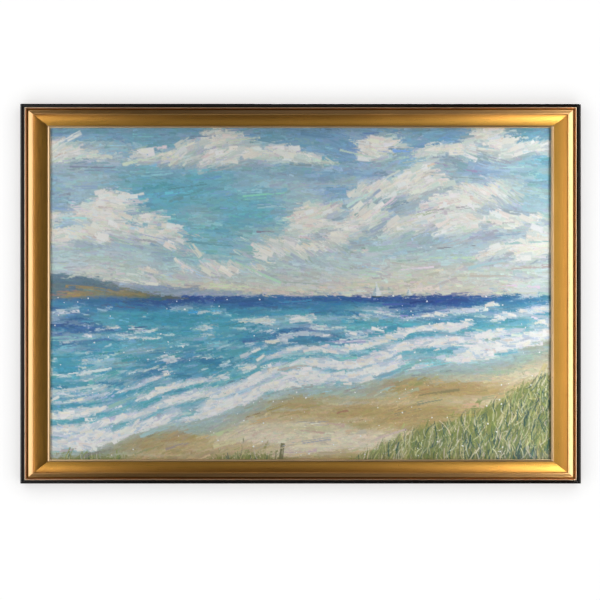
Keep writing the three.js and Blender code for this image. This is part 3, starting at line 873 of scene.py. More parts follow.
    # Beach, wet at the water's edge, and the dune that closes the picture at the lower right
    land = -to_shore
    beach = mix(hue["wet_sand"], hue["sand"], ramp(0.02, 0.16, land + (streak - 0.5) * 0.08))
    beach = mix(
        beach, hue["sand_light"], ramp(0.42, 0.66, wide + (fine - 0.5) * 0.4) * ramp(0.06, 0.2, land) * 0.9
    )
    beach = mix(beach, hue["sand_dark"], ramp(0.56, 0.75, 1 - wide + (streak - 0.5) * 0.3) * 0.7)
    beach = mix(beach, hue["peach"], ramp(0.55, 0.8, broad) * 0.5)
    beach = mix(
        beach, hue["olive"], ramp(0.6, 0.8, 1 - broad + (streak - 0.5) * 0.3) * 0.5 * ramp(0.15, 0.4, land)
    )
    beach = mix(beach, hue["haze"], ramp(0.07, 0.0, land) * 0.5)
    ridge = 0.985 - 0.60 * ramp(0.52, 1.15, u) - 0.03 * np.sin(u * 20)
    dune = ramp(0.0, 0.02, depth - ridge + (fine - 0.5) * 0.02)
    rise = mix(hue["olive"], hue["grass"], ramp(0.3, 0.6, fine))
    rise = mix(rise, hue["dusk_green"], ramp(0.0, 0.35, depth - ridge) * ramp(0.35, 0.6, wide) * 0.95)
    rise = mix(rise, hue["sand"], ramp(0.5, 0.65, wide) * 0.6)
    beach = mix(beach, rise, dune)
    on_land = ramp(-0.004, 0.004, land)
    below = ramp(-0.0015, 0.0015, v - horizon)
    colour = mix(colour, mix(sea, beach, on_land), below)

    # Two headlands at the left
    far_top = horizon - 0.040 * ramp(0.47, 0.12, u)
    far_top = far_top - 0.016 * (soft_noise(rng, 2, 16, shape)[0:1] - 0.5) * ramp(0.47, 0.3, u)
    far = ramp(-0.001, 0.003, v - far_top) * (1 - below) * ramp(0.47, 0.45, u)
    colour = mix(colour, mix(hue["far_hill"], hue["cloud_lilac"], ramp(0.4, 0.7, fine) * 0.6), far)
    near_top = horizon - 0.072 * ramp(0.25, 0.02, u)
    near_top = near_top - 0.03 * (soft_noise(rng, 2, 12, shape)[0:1] - 0.5) * ramp(0.26, 0.1, u)
    near = ramp(-0.001, 0.003, v - near_top) * ramp(0.012, 0.006, v - horizon) * ramp(0.262, 0.255, u)
    near_colour = mix(hue["near_hill"], hue["sand_dark"], ramp(0.45, 0.7, fine) * ramp(-0.05, 0, v - horizon))
    colour = mix(colour, mix(near_colour, hue["dusk_green"], ramp(0.5, 0.7, wide) * 0.6), near)

    # How the brush moves
    turn = soft_noise(rng, 5, 7, shape, 2) - 0.5
    slope = np.gradient(shore, axis=1) * (COLS - 1) * (1 - horizon) * (ROWS / COLS)
    direction = turn * 1.5 * (1 - below) * (0.25 + cloud) + dune * (-1.25 + turn * 1.2)
    direction = direction + below * (np.arctan(slope) * ramp(0.1, 0.6, depth) + turn * 0.25)
    lit_cloud = cloud * ramp(0.45, 0.8, light)
    detail = 0.25 + 0.35 * lit_cloud + below * (0.35 + 0.6 * foam) + np.maximum(far, near) * 0.6 + dune * 0.5
    thick = 0.25 + 0.5 * lit_cloud + below * (0.15 + 0.75 * foam + caps * 0.5) + dune * 0.35
    surf = foam * below * (1 - on_land)
    masks = {
        "surf": surf, "dune": dune * below, "lit_cloud": lit_cloud * (1 - below), "ridge": ridge[0],
        "below": below
    }
    return np.clip(colour, 0, 1), direction, np.clip(detail, 0, 1), np.clip(thick, 0, 1), masks


class Painting:
    """Paint on the canvas, as a colour and a height in millimetres for each cell, laid stroke by stroke."""

    def __init__(self, seed, hue, horizon):
        self.rng = np.random.default_rng(seed)
        self.hue, self.horizon = hue, horizon
        picture = composition(self.rng, hue, horizon)
        self.picture, self.direction, self.detail, self.thick, self.masks = picture
        mottle = soft_noise(self.rng, 30, 45, (ROWS, COLS))
        self.colour = mix(self.hue["ground"] * 0.9, self.hue["sand_light"], mottle).astype(np.float32)
        self.height = np.zeros((ROWS, COLS), np.float32)
        self.marks = [self.brush_mark() for _ in range(48)]

    def brush_mark(self):
        """How dry each bristle runs along a stroke, and how far it stands out."""
        hair = self.rng.random((1, 42))
        hair = (hair[:, :-2] + hair[:, 1:-1] * 2 + hair[:, 2:]) / 4
        fleck = soft_noise(self.rng, 10, 14, (96, 40), 2)
        streak = soft_noise(self.rng, 3, 20, (96, 40), 2)
        dry = 0.45 * hair + 0.30 * streak + 0.35 * fleck
        dry = (dry - dry.min()) / (dry.max() - dry.min())
        return dry, np.repeat(0.6 * hair + 0.4 * streak.mean(0, keepdims=True), 96, 0)

    def cell(self, x, y):
        return min(max(int(y / CELL), 0), ROWS - 1), min(max(int(x / CELL), 0), COLS - 1)

    def stroke(self, x, y, angle, length, width, tint, second, load, thick, bend=0.0, wet=0.15, soft=0.22):
        """One stroke whose middle is x, y, in millimetres from the upper left corner."""
        ca, sa = math.cos(angle), math.sin(angle)
        reach_x = (abs(ca) * length + abs(sa) * width) / 2 + abs(bend) * width + 2 * CELL
        reach_y = (abs(sa) * length + abs(ca) * width) / 2 + abs(bend) * width + 2 * CELL
        x1, x2 = max(int((x - reach_x) / CELL), 0), min(int((x + reach_x) / CELL) + 2, COLS)
        y1, y2 = max(int((y - reach_y) / CELL), 0), min(int((y + reach_y) / CELL) + 2, ROWS)
        if x2 <= x1 or y2 <= y1:
            return
        dx = (np.arange(x1, x2) * CELL - x)[None, :]
        dy = (np.arange(y1, y2) * CELL - y)[:, None]
        along = (dx * ca + dy * sa) / length + 0.5
        across = (dy * ca - dx * sa) / (width / 2) - bend * 4 * along * (1 - along)
        dry, hair = self.marks[self.rng.integers(len(self.marks))]
        # No bristle finer than the cells can show, or the marks turn into rows of dots
        bristles = min(max(int(width / (1.7 * CELL)), 4), 40)
        tuft = np.clip((across + 1) / 2 * bristles, 0, bristles - 1).astype(int) * 40 // bristles
        at = (np.clip(along * 96, 0, 95).astype(int), tuft)
        dry, hair = dry[at], hair[at]
        side = np.clip((1 - np.abs(across) + 0.1 * (hair - 0.5)) * width / (2.4 * CELL), 0, 1)
        tip = 0.14 * width
        ends = np.clip(along * length / tip, 0, 1) * np.clip((1 - along) * length / tip, 0, 1)
        cover = side * ends * np.clip((load * (1.35 - 0.95 * along) - dry) / soft, 0, 1)
        spot = (slice(y1, y2), slice(x1, x2))
        body = tint * (1 - wet) + self.colour[self.cell(x, y)] * wet
        paint = mix(body, second, np.clip((hair - 0.5) * 0.9 + 0.19, 0, 0.55))
        paint = paint * (0.95 + 0.1 * hair[..., None])
        self.colour[spot] += (paint - self.colour[spot]) * cover[..., None]
        ridge = np.exp(-(((np.abs(across) - 0.86) / 0.13) ** 2)) * (0.4 + 0.6 * along)
        relief = 0.35 + 0.55 * hair + 0.55 * ridge + 0.25 * np.clip(along * 5 - 4, 0, 1)
        self.height[spot] += cover * (thick * relief - 0.45 * self.height[spot])

    def varied(self, tint, amount):
        return np.clip(tint * self.rng.normal(1, amount) + self.rng.normal(0, amount * 0.45, 3), 0, 1)

    def coat(self, width, spacing, ratio, jitter, load, thick, wet, where=None, tone=0.05, soft=0.22):
        """A coat of strokes over the whole picture, each with the colour of the picture in mind there."""
        rng = self.rng
        pitch = width * spacing
        nx, ny = int(COLS * CELL / (pitch * ratio * 0.45)) + 2, int(ROWS * CELL / pitch) + 2
        for k in rng.permutation(nx * ny):
            x = ((k % nx + rng.random()) / nx) * (COLS * CELL + 2 * width) - width
            y = ((k // nx + rng.random()) / ny) * (ROWS * CELL + 2 * width) - width
            at = self.cell(x, y)
            if where is not None and rng.random() > where[at]:
                continue
            angle = self.direction[at] + rng.normal(0, jitter) + math.pi * rng.integers(2)
            w = width * rng.uniform(0.7, 1.3)
            near = self.cell(x + rng.normal(0, 2 * w), y + rng.normal(0, w))
            self.stroke(
                x, y, angle, w * ratio * rng.uniform(0.6, 1.4), w,
                self.varied(self.picture[at], tone), self.varied(self.picture[near], tone),
                load * rng.uniform(0.75, 1.2), thick * (0.35 + 1.3 * self.thick[at]),
                rng.normal(0, 0.16), wet, soft,
            )

    def places(self, mask, count):
        """Random places, as (x, y) in millimetres, where the mask is strong."""
        weight = (mask / mask.sum()).ravel()
        cells = self.rng.choice(weight.size, count, p=weight)
        return [(c % COLS * CELL, c // COLS * CELL) for c in cells]

    def knife(self, mask, count, colours, length, width, thick):
        """Thick dabs laid with a palette knife where the mask is strong."""
        for x, y in self.places(mask, count):
            tint, second = (
                self.varied(self.hue[colours[i]], 0.02) for i in self.rng.integers(len(colours), size=2)
            )
            angle = self.direction[self.cell(x, y)] + self.rng.normal(0, 0.22)
            angle += math.pi * self.rng.integers(2)
            size = self.rng.uniform(0.6, 1.5)
            self.stroke(x, y, angle, length * size, width * size, tint, second, 0.82, thick, 0.1, 0.03, 0.10)

    def grass(self, count):
        """Blades along the dune's ridge and over it."""
        for x, y in self.places(self.masks["dune"] ** 2, count):
            lean = -math.pi / 2 + self.rng.normal(0.15, 0.35)
            length = self.rng.uniform(12, 38)
            name = ("grass_light", "grass", "olive", "dusk_green", "sand_light")[self.rng.integers(5)]
            tint = self.varied(self.hue[name], 0.05)
            bend = self.rng.normal(0, 2.5)
            self.stroke(
                x, y, lean, length, self.rng.uniform(1.6, 3.0), tint, tint, 1.0, 0.45, bend, 0.05, 0.15
            )

    def boat(self, x, foot, tall):
        """A small sailing boat, its hull on the line foot."""
        white, shade, hull = self.hue["foam"], self.hue["cloud_shade"], self.hue["dusk_green"] * 0.8
        for k in range(7):
            share = k / 6
            reach = tall * 0.42 * (1 - share)
            self.stroke(
                x + reach / 2, foot - tall * (0.08 + 0.86 * share), 0, reach + 2.2, tall * 0.2, white,
                shade, 1.2, 0.5, 0, 0
            )
            self.stroke(
                x - reach * 0.35, foot - tall * (0.08 + 0.6 * share), 0, reach * 0.6 + 1.6, tall * 0.16,
                shade, white, 1.2, 0.4, 0, 0
            )
        self.stroke(x + tall * 0.05, foot, 0, tall * 0.72, tall * 0.13, hull, hull, 1.3, 0.5, 0.4, 0)
        self.stroke(
            x + tall * 0.05, foot + tall * 0.2, 0, tall * 0.5, tall * 0.16, white, self.hue["teal"], 0.6,
            0.3, 0, 0.3
        )

    def gull(self, x, y, span, tilt):
        for side in (-1, 1):
            angle = tilt - side * 0.35
            self.stroke(
                x + side * span * 0.26, y, angle, span * 0.56, span * 0.16, self.hue["foam"],
                self.hue["cloud_shade"], 1.3, 0.4, 1.1, 0
            )

    def finish(self):
        """Lays the coats from the broadest brush to the finest, then the accents."""
        self.coat(40, 0.55, 3.2, 0.35, 0.92, 0.25, 0.10, tone=0.06)
        self.coat(20, 0.55, 3.6, 0.25, 0.90, 0.35, 0.15, tone=0.06)
        self.coat(9.5, 0.60, 4.0, 0.20, 0.80, 0.40, 0.15, tone=0.055)
        self.coat(4.6, 0.80, 4.2, 0.16, 0.72, 0.35, 0.12, 0.25 + 0.75 * self.detail)
        self.coat(2.6, 1.00, 4.5, 0.14, 0.70, 0.30, 0.08, np.clip(self.detail * 1.3 - 0.4, 0, 1), 0.045, 0.10)
        self.coat(8.0, 1.6, 9.0, 0.05, 0.42, 0.30, 0.05, np.full((ROWS, COLS), 0.8), 0.09, 0.12)
        self.boat(590, self.horizon * ROWS * CELL + 1.5, 26)
        self.boat(648, self.horizon * ROWS * CELL + 0.5, 15)
        self.grass(1400)
        self.knife(self.masks["surf"] ** 2, 700, ("foam", "foam", "foam_lilac", "cloud_lit"), 17, 5.5, 1.0)
        self.knife(self.masks["lit_cloud"] ** 2, 260, ("cloud_lit", "cloud_cream", "foam"), 22, 8, 0.75)
        for x, y, span, tilt in (
            (250, 205, 13, 0.1), (274, 192, 10, -0.15), (300, 214, 8, 0.2), (226, 188, 8, 0),
            (455, 246, 7, 0.1)
        ):
            self.gull(x, y, span, tilt)
        return self


def surface_of(painting, relief):
    """Places and outward normals of the painted surface, pressed thin where the frame's lip holds it."""
    x = (np.arange(COLS) - (COLS - 1) / 2) * CELL * MM
    z = MIDDLE.z + ((ROWS - 1) / 2 - np.arange(ROWS)) * CELL * MM
    x, z = np.meshgrid(x, z)
    inside = np.minimum(SIGHT_WIDTH / 2 - abs(x), SIGHT_HEIGHT / 2 - abs(z - MIDDLE.z))
    height = np.minimum(painting.height * relief, 1.2) * MM
    height = np.minimum(height, 0.0002 + 0.001 * ramp(0.0003, 0.004, inside))
    down, right = np.gradient(height, CELL * MM)
    normals = np.stack([-right, -np.ones_like(x), down], -1)
    normals /= np.linalg.norm(normals, axis=2, keepdims=True)
    return np.stack([x, CANVAS_FRONT - height, z], -1), normals, height


def paint_band(name, places, normals, height, colour):
    """One band of the painted surface, closed at its sides and back."""
    rows, cols = height.shape
    grid = np.arange(rows * cols).reshape(rows, cols)
    front = np.stack([grid[:-1, :-1], grid[1:, :-1], grid[1:, 1:], grid[:-1, 1:]], -1).reshape(-1, 4)
    rim = np.concatenate([grid[0, :-1], grid[:-1, -1], grid[-1, :0:-1], grid[:0:-1, 0]])
    behind = rows * cols + np.arange(len(rim))
    walls = np.stack([rim, np.roll(rim, -1), np.roll(behind, -1), behind], -1)
    points = places.reshape(-1, 3)
    back = points[rim].copy()
    back[:, 1] = CANVAS_FRONT + 0.0001
    points = np.concatenate([points, back])
    mesh = mesh_of(name, points, (), [*front.tolist(), *walls.tolist(), behind.tolist()])
    outward = np.concatenate([normals.reshape(-1, 3), np.tile([0.0, 1.0, 0.0], (len(rim), 1))])
    mesh.shade_smooth()
    mesh.normals_split_custom_set_from_vertices(outward.tolist())
    tint = np.concatenate([colour.reshape(-1, 3), colour.reshape(-1, 3)[rim]])
    tint = np.where(tint <= 0.04045, tint / 12.92, ((tint + 0.055) / 1.055) ** 2.4)
    layer = mesh.color_attributes.new("paint", "FLOAT_COLOR", "POINT")
    layer.data.foreach_set("color", np.concatenate([tint, np.ones((len(tint), 1))], 1).ravel())
    body = np.concatenate([height.ravel(), np.zeros(len(rim))]) / MM
    mesh.attributes.new("body", "FLOAT", "POINT").data.foreach_set("value", body)
    # The front fills the map, and the hidden sides and back lie in a strip below it
    low, high = places[..., 0].min(), places[..., 0].max()
    foot, top = places[..., 2].min(), places[..., 2].max()
    across = (points[:, 0] - low) / (high - low)
    upward = (points[:, 2] - foot) / (top - foot)
    step = np.arange(len(rim)) / len(rim)
    wall_u = np.stack([step, step + 1 / len(rim), step + 1 / len(rim), step], -1)
    wall_v = np.tile([0.04, 0.04, 0.035, 0.035], (len(rim), 1))
    u = np.concatenate([across[front].ravel(), wall_u.ravel(), across[behind]])
    v = np.concatenate([0.05 + 0.95 * upward[front].ravel(), wall_v.ravel(), 0.03 * upward[behind]])
    mesh.uv_layers.new(name="OFBake").data.foreach_set("uv", np.stack([u, v], -1).ravel())
    return mesh


def oil_paint(weave):
    """Oil paint with bristle marks, thin enough in places for the weave to show, under a satin varnish."""
    made, n, shader = material("oil_paint")
    colour = n.attribute("paint", 0)
    body = n.attribute("body")
    bristles = n.noise(n.scaled(n.position(), (420, 420, 1500)), 1.0, 3, 0.6)
    grit = n.noise(n.position(), 900.0, 2)
    thin = n.ease(body, 0.5, 0.25)
    threads = n.group(weave, Vector=n.position(), Thread=0.00055)
    shade = n.ease(n.plus(n.times(bristles, 0.8), n.times(grit, 0.2)), 0.25, 0.75, 0.93, 1.05)
    # Painted shade: where the paint is thin, it is darker between the threads of the weave.
    shade = n.times(shade, n.minus(1.0, n.times(thin, n.ease(threads, 0.5, 0.0, 0.0, 0.10))))
    n.feed(shader.inputs["Base Color"], n.blend(colour, n.vector(x=shade, y=shade, z=shade), 1.0, "MULTIPLY"))
    n.feed(shader.inputs["Roughness"], n.ease(bristles, 0.3, 0.7, 0.44, 0.56))
    shader.inputs["Coat Weight"].default_value = 0.25
    shader.inputs["Coat Roughness"].default_value = 0.35
    shader.inputs["Specular IOR Level"].default_value = 0.4
    relief = n.plus(n.times(bristles, 0.7), n.times(grit, 0.2))
    relief = n.plus(relief, n.times(n.times(threads, thin), 0.5))
    n.feed(shader.inputs["Normal"], n.bump(relief, 0.00012, 0.7))
    return made


def droplet_tree():
    """Geometry Nodes: a low round fleck of paint at every point."""
    group, g, given, output = node_group(
        "Thrown droplets",
        [
            ("Points", "NodeSocketGeometry", None),
            ("Flatness", "NodeSocketFloat", 0.45),
            ("Stretch", "NodeSocketFloat", 0.5),
            ("Seed", "NodeSocketInt", 4),
            ("Finish", "NodeSocketMaterial", None),
        ],
        [("Droplets", "NodeSocketGeometry")],
        "GeometryNodeTree",
    )
    ball = g.add("GeometryNodeMeshIcoSphere", None, 0, Radius=1.0, Subdivisions=2)
    size = g.add("GeometryNodeInputNamedAttribute", {"data_type": "FLOAT"}, 0, Name="size")
    longer = g.random(1.0, g.plus(1.0, given["Stretch"]), given["Seed"])
    spin = g.random(0.0, math.tau, g.plus(given["Seed"], 1.0))
    shape = g.vector(x=g.times(size, longer), y=g.times(size, given["Flatness"]), z=size)
    turn = g.vector(y=spin)
    flecks = g.add(
        "GeometryNodeInstanceOnPoints", None, 0, Points=given["Points"], Instance=ball, Rotation=turn,
        Scale=shape
    )
    g.finish_tree(flecks, given, output, smooth=True)
    return group


def thrown_paint(foam):
    """White paint thrown from the brush."""
    made, n, shader = material("thrown_paint")
    mottle = n.noise(n.position(), 260.0, 3)
    n.feed(shader.inputs["Base Color"], n.blend(toned(foam, 0.86), linear(foam), n.ease(mottle, 0.3, 0.6)))
    n.feed(shader.inputs["Roughness"], n.ease(mottle, 0.3, 0.7, 0.3, 0.45))
    n.feed(shader.inputs["Normal"], n.bump(n.noise(n.position(), 1500.0, 2), 0.00004, 0.5))
    shader.inputs["Coat Weight"].default_value = 0.25
    shader.inputs["Coat Roughness"].default_value = 0.35
    return made


class SCENE_OT_oil_painting(bpy.types.Operator):
    """Paints the seascape stroke by stroke, with its relief and the flecks over the surf"""

    bl_idname = "framed_seascape.oil_painting"
    bl_label = "Oil painting"

    def execute(self, context):
        s = context.scene.framed_seascape.painting
        settings = s.bl_rna.properties
        colours = [p.identifier for p in settings if p.type == "FLOAT" and p.array_length == 3]
        hue = {name: np.array(getattr(s, name)) for name in colours}
        painting = Painting(s.seed, hue, s.horizon).finish()
        places, normals, height = surface_of(painting, s.relief)
        finish = oil_paint(weave_group())
        deep = (ROWS - 1) // BANDS
        for k in range(BANDS):
            part = slice(k * deep, (k + 1) * deep + 1)
            name = f"paint_band_{k + 1}"
            mesh = paint_band(name, places[part], normals[part], height[part], painting.colour[part])
            piece_of(name, mesh, "painted_canvas", finish=finish)
        self.droplets(s, painting, places)
        return {"FINISHED"}

    def droplets(self, s, painting, places):
        """Flecks of white over the surf and the water beyond it."""
        masks = painting.masks
        spread = soft_noise(painting.rng, 6, 9, (ROWS, COLS)) ** 3
        mask = masks["below"] * (masks["surf"] + 0.25) * spread
        edge = 8
        mask[:edge] = mask[-edge:] = mask[:, :edge] = mask[:, -edge:] = 0
        cells = [(int(y / CELL), int(x / CELL)) for x, y in painting.places(mask, s.droplets)]
        start = mesh_of("flecks", [places[cell] for cell in cells])
        size = painting.rng.uniform(0.35, 1.0, len(cells)) ** 2.2 * 1.5 * MM
        start.attributes.new("size", "FLOAT", "POINT").data.foreach_set("value", size)
        mesh = grown("paint_flecks", start, droplet_tree(), {"Finish": thrown_paint(s.foam)})
        piece_of("paint_flecks", mesh, "painted_canvas")


# ---- Canvas and bars --------------------------------------------------------------------------------


def weave_group():
    """Shader group: a plain weave in the plane of the picture, as a height from 0 to 1."""
    if "Plain weave" in bpy.data.node_groups:
        return bpy.data.node_groups["Plain weave"]
    inputs = [("Vector", "NodeSocketVector", None), ("Thread", "NodeSocketFloat", 0.00055)]
    group, g, given, output = node_group("Plain weave", inputs, [("Height", "NodeSocketFloat")])
    sway = g.noise(given["Vector"], 90.0, 2)
    place = g.add("ShaderNodeSeparateXYZ", None, 0, Vector=given["Vector"])
    x, z = place.node.outputs[0], place.node.outputs[2]
    turn = g.times(g.minus(sway, 0.5), 2.4)
    warp = g.math("SINE", g.plus(g.times(g.math("DIVIDE", x, given["Thread"]), math.pi), turn))
    weft = g.math("SINE", g.plus(g.times(g.math("DIVIDE", z, given["Thread"]), math.pi), turn))
    over = g.times(warp, weft)
    up = g.times(g.math("ABSOLUTE", warp), g.plus(g.times(over, 0.5), 0.5))
    across = g.times(g.math("ABSOLUTE", weft), g.minus(0.5, g.times(over, 0.5)))
    g.feed(output.inputs[0], g.most(up, across))
    return group


def wood_group():
    """Shader group: straight-grained wood, its grain along the vector's x, as a colour and a height."""
    if "Wood grain" in bpy.data.node_groups:
        return bpy.data.node_groups["Wood grain"]
    group, g, given, output = node_group(
        "Wood grain",
        [
            ("Vector", "NodeSocketVector", None),
            ("Early wood", "NodeSocketColor", (0.7, 0.5, 0.3, 1)),
            ("Late wood", "NodeSocketColor", (0.4, 0.25, 0.1, 1)),
            ("Rings", "NodeSocketFloat", 260.0),
        ],
        [("Colour", "NodeSocketColor"), ("Height", "NodeSocketFloat")],
    )
    bent = g.noise(g.scaled(given["Vector"], (1.2, 9, 9)), 1.0, 2)
    drawn = g.scaled(given["Vector"], (0.04, 1, 1))
    shifted = g.add("ShaderNodeVectorMath", {"operation": "ADD"}, 0, i0=drawn)
    g.feed(shifted.node.inputs[1], g.vector(y=g.times(bent, 0.05), z=g.times(bent, 0.03)))
    rings = g.add(
        "ShaderNodeTexWave", {"bands_direction": "DIAGONAL", "wave_profile": "SAW"}, 1, Vector=shifted,
        Scale=0.0, Distortion=0.0
    )
    g.feed(rings.node.inputs["Scale"], g.times(given["Rings"], 0.1))
    fibre = g.noise(g.scaled(given["Vector"], (14, 900, 900)), 1.0, 3, 0.6)
    pores = g.noise(g.scaled(given["Vector"], (60, 2600, 2600)), 1.0, 2)
    late = g.times(g.ease(rings, 0.55, 1.0), g.ease(fibre, 0.2, 0.8, 0.6, 1.0))
    colour = g.blend(given["Early wood"], given["Late wood"], late)
    colour = g.blend(colour, given["Late wood"], g.ease(fibre, 0.5, 0.8, 0.0, 0.35))
    g.feed(
        output.inputs[0],
        g.blend(colour, given["Early wood"], g.ease(g.noise(given["Vector"], 6.0, 2), 0.4, 0.7, 0.0, 0.3))
    )
    g.feed(output.inputs[1], g.minus(g.times(fibre, 0.6), g.times(g.ease(pores, 0.55, 0.75), 0.4)))
    return group


def cloth_path(s):
    """The cloth's section from its face to its turned-back edge and back inside, as (outward, y)."""
    arc = np.linspace(0, math.pi / 2, 7)
    r, t, back = s.fold, s.cloth, CANVAS_BACK
    outer = [(r * math.sin(a), CANVAS_FRONT + r * (1 - math.cos(a))) for a in arc[1:]]
    outer += [(r, y) for y in np.linspace(CANVAS_FRONT + r, back - r, 5)[1:]]
    outer += [(r * math.cos(a), back - r + r * math.sin(a)) for a in arc[1:]]
    outer += [(d, back) for d in np.linspace(0, -s.turn_back, 9)[1:]]
    inner = [(d, back - t) for d in np.linspace(-s.turn_back, 0, 9)]
    inner += [((r - t) * math.cos(a), back - r + (r - t) * math.sin(a)) for a in arc[::-1][1:]]
    inner += [(r - t, y) for y in np.linspace(back - r, CANVAS_FRONT + r, 5)[1:]]
    inner += [((r - t) * math.sin(a), CANVAS_FRONT + r - (r - t) * math.cos(a)) for a in arc[-2:0:-1]]
    return outer, inner


def canvas_cloth(s):
    """The cloth as one closed shell, with its edges over the bars, and a tuck folded at each corner."""
    nx, nz = 72, 48
    rng = np.random.default_rng(5)
    half_x, half_z = CANVAS_WIDTH / 2 - s.fold, CANVAS_HEIGHT / 2 - s.fold
    outer, inner = cloth_path(s)
    gx, gz = np.linspace(-1, 1, nx + 1), np.linspace(-1, 1, nz + 1)
    border = [(x, 1) for x in gx[:-1]] + [(1, z) for z in gz[:0:-1]]
    border += [(x, -1) for x in gx[:0:-1]] + [(-1, z) for z in gz[:-1]]
    ragged = rng.normal(0, 0.00035, len(border))
    ragged = (ragged + np.roll(ragged, 1) + np.roll(ragged, -1)) * 0.8
    points, faces = [], []

    def sheet(y):
        grid = {}
        for i, x in enumerate(gx):
            for k, z in enumerate(gz):
                grid[i, k] = len(points)
                points.append((x * half_x, y, MIDDLE.z + z * half_z))
        return grid

    def ring(out, y, free):
        first = len(points)
        for i, (x, z) in enumerate(border):
            reach = out + free * ragged[i]
            lift = free * 0.0001 * math.sin(i * 0.9)
            points.append((x * (half_x + reach), y + lift, MIDDLE.z + z * (half_z + reach)))
        return [first + i for i in range(len(border))]

    def join(a, b):
        n = len(border)
        for i in range(n):
            faces.append((a[i], a[(i + 1) % n], b[(i + 1) % n], b[i]))

    def rim_of(grid):
        top = [grid[i, nz] for i in range(nx)] + [grid[nx, k] for k in range(nz, 0, -1)]
        return top + [grid[i, 0] for i in range(nx, 0, -1)] + [grid[0, k] for k in range(nz)]

    face = sheet(CANVAS_FRONT)
    for i in range(nx):
        for k in range(nz):
            faces.append((face[i, k], face[i + 1, k], face[i + 1, k + 1], face[i, k + 1]))
    last = rim_of(face)
    for run in (outer, inner):
        for out, y in run:
            free = ramp(0.0, 1.0, -out / s.turn_back)
            now = ring(out, y, free)
            join(last, now)
            last = now
        if run is outer:
            primed = len(points)
    hidden = sheet(CANVAS_FRONT + s.cloth)
    join(last, rim_of(hidden))
    for i in range(nx):
        for k in range(nz):
            faces.append((hidden[i, k], hidden[i, k + 1], hidden[i + 1, k + 1], hidden[i + 1, k]))
    primed = [1.0] * primed + [0.0] * (len(points) - primed)
    for sx in (-1, 1):
        for sz in (-1, 1):
            tuck(points, faces, s, sx, sz)
    primed += [1.0] * (len(points) - len(primed))
    mesh = mesh_of("canvas_cloth", points, (), faces)
    bm = bmesh.new()
    bm.from_mesh(mesh)
    bmesh.ops.recalc_face_normals(bm, faces=bm.faces)
    bm.to_mesh(mesh)
    bm.free()
    mesh.attributes.new("primed", "FLOAT", "POINT").data.foreach_set("value", primed)
    return shaded(mesh, 50)


def tuck(points, faces, s, sx, sz):
    """The cloth's corner, folded under into a triangle that lies on the turned-back edge."""
    steps, reach = 8, s.turn_back + 0.006
    corner = np.array([sx * CANVAS_WIDTH / 2, MIDDLE.z + sz * CANVAS_HEIGHT / 2])
    a = corner - np.array([sx, sz]) * 0.0016
    b = a - np.array([sx, 0]) * reach
    c = corner - np.array([sx, sz]) * s.turn_back * 0.96
    rows = []
    for level in (0, 1):
        for i in range(steps + 1):
            row = []
            for k in range(steps + 1 - i):
                p = a + (b - a) * (i / steps) + (c - a) * (k / steps)
                inner = min(i, k, steps - i - k) / steps
                rise = level * (s.cloth + 0.0005 * ramp(0, 0.3, inner)) - 0.00005
                row.append(len(points))
                points.append((p[0], CANVAS_BACK + rise, p[1]))
            rows.append(row)
    low, high = rows[: steps + 1], rows[steps + 1 :]
    for level in (low, high):
        for i in range(steps):
            for k in range(steps - i):
                faces.append((level[i][k], level[i + 1][k], level[i][k + 1]))
                if k < steps - i - 1:
                    faces.append((level[i + 1][k], level[i + 1][k + 1], level[i][k + 1]))

    def edge(level):
        slope = [level[steps - k][k] for k in range(1, steps + 1)]
        return [row[0] for row in level] + slope + [level[0][k] for k in range(steps - 1, 0, -1)]

    under, over = edge(low), edge(high)
    for i in range(len(under)):
        j = (i + 1) % len(under)
        faces.append((under[i], under[j], over[j], over[i]))


def cloth_finish(s):
    """Cotton cloth: white primer on its face and turned edge, raw threads behind."""
    made, n, shader = material("canvas_cloth")
    threads = n.group(weave_group(), Vector=n.position(), Thread=s.thread)
    primed = n.attribute("primed")
    slubs = n.noise(n.scaled(n.position(), (60, 60, 900)), 1.0, 2)
    uprights = n.noise(n.scaled(n.position(), (900, 60, 60)), 1.0, 2)
    uneven = n.most(n.ease(slubs, 0.6, 0.8), n.ease(uprights, 0.6, 0.8))
    # Painted shade: the raw cloth is darker between the threads of the weave.
    raw = n.blend(linear(s.raw), toned(s.raw, 0.62), n.ease(threads, 0.55, 0.05))
    raw = n.blend(raw, toned(s.raw, 1.18), n.times(uneven, 0.6))
    stain = n.noise(n.position(), 7.0, 4)
    raw = n.blend(raw, toned(s.raw, 0.8), n.ease(stain, 0.5, 0.8, 0.0, 0.5))
    white = n.blend(linear(s.primer), toned(s.primer, 0.86), n.ease(stain, 0.45, 0.8))
    white = n.blend(white, linear(s.raw), n.ease(threads, 0.3, 0.0, 0.0, 0.35))
    n.feed(shader.inputs["Base Color"], n.blend(raw, white, primed))
    n.feed(shader.inputs["Roughness"], n.minus(0.92, n.times(primed, 0.2)))
    height = n.plus(threads, n.times(uneven, 0.5))
    n.feed(shader.inputs["Normal"], n.bump(height, 0.0002, 0.7))
    shader.inputs["Sheen Weight"].default_value = 0.1
    return made


def pine(name, s, upright, seat):
    """Pine with its grain along the bar."""
    made, n, shader = material(name)
    turn = (0, math.pi / 2, 0) if upright else (0, 0, 0)
    vector = n.add("ShaderNodeMapping", None, 0, Vector=n.position(), Location=seat, Rotation=turn)
    values = {"Vector": vector, "Early wood": linear(s.pine), "Late wood": linear(s.pine_dark)}
    grain = n.group(wood_group())
    for key, value in values.items():
        n.feed(grain.node.inputs[key], value)
    worn = n.noise(n.position(), 34.0, 4)
    n.feed(
        shader.inputs["Base Color"],
        n.blend(grain, toned(s.pine_dark, 0.7), n.ease(worn, 0.62, 0.85, 0.0, 0.4))
    )
    n.feed(shader.inputs["Roughness"], n.ease(worn, 0.3, 0.7, 0.6, 0.75))
    n.feed(shader.inputs["Normal"], n.bump(grain.node.outputs[1], 0.00015, 0.6))
    return made


def set_finish(node, finish):
    """Gives one of the solid model's own parts its finish."""
    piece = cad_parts[node]
    for at in piece.material_slots:
        at.material = finish
    if not piece.material_slots:
        piece.data.materials.append(finish)


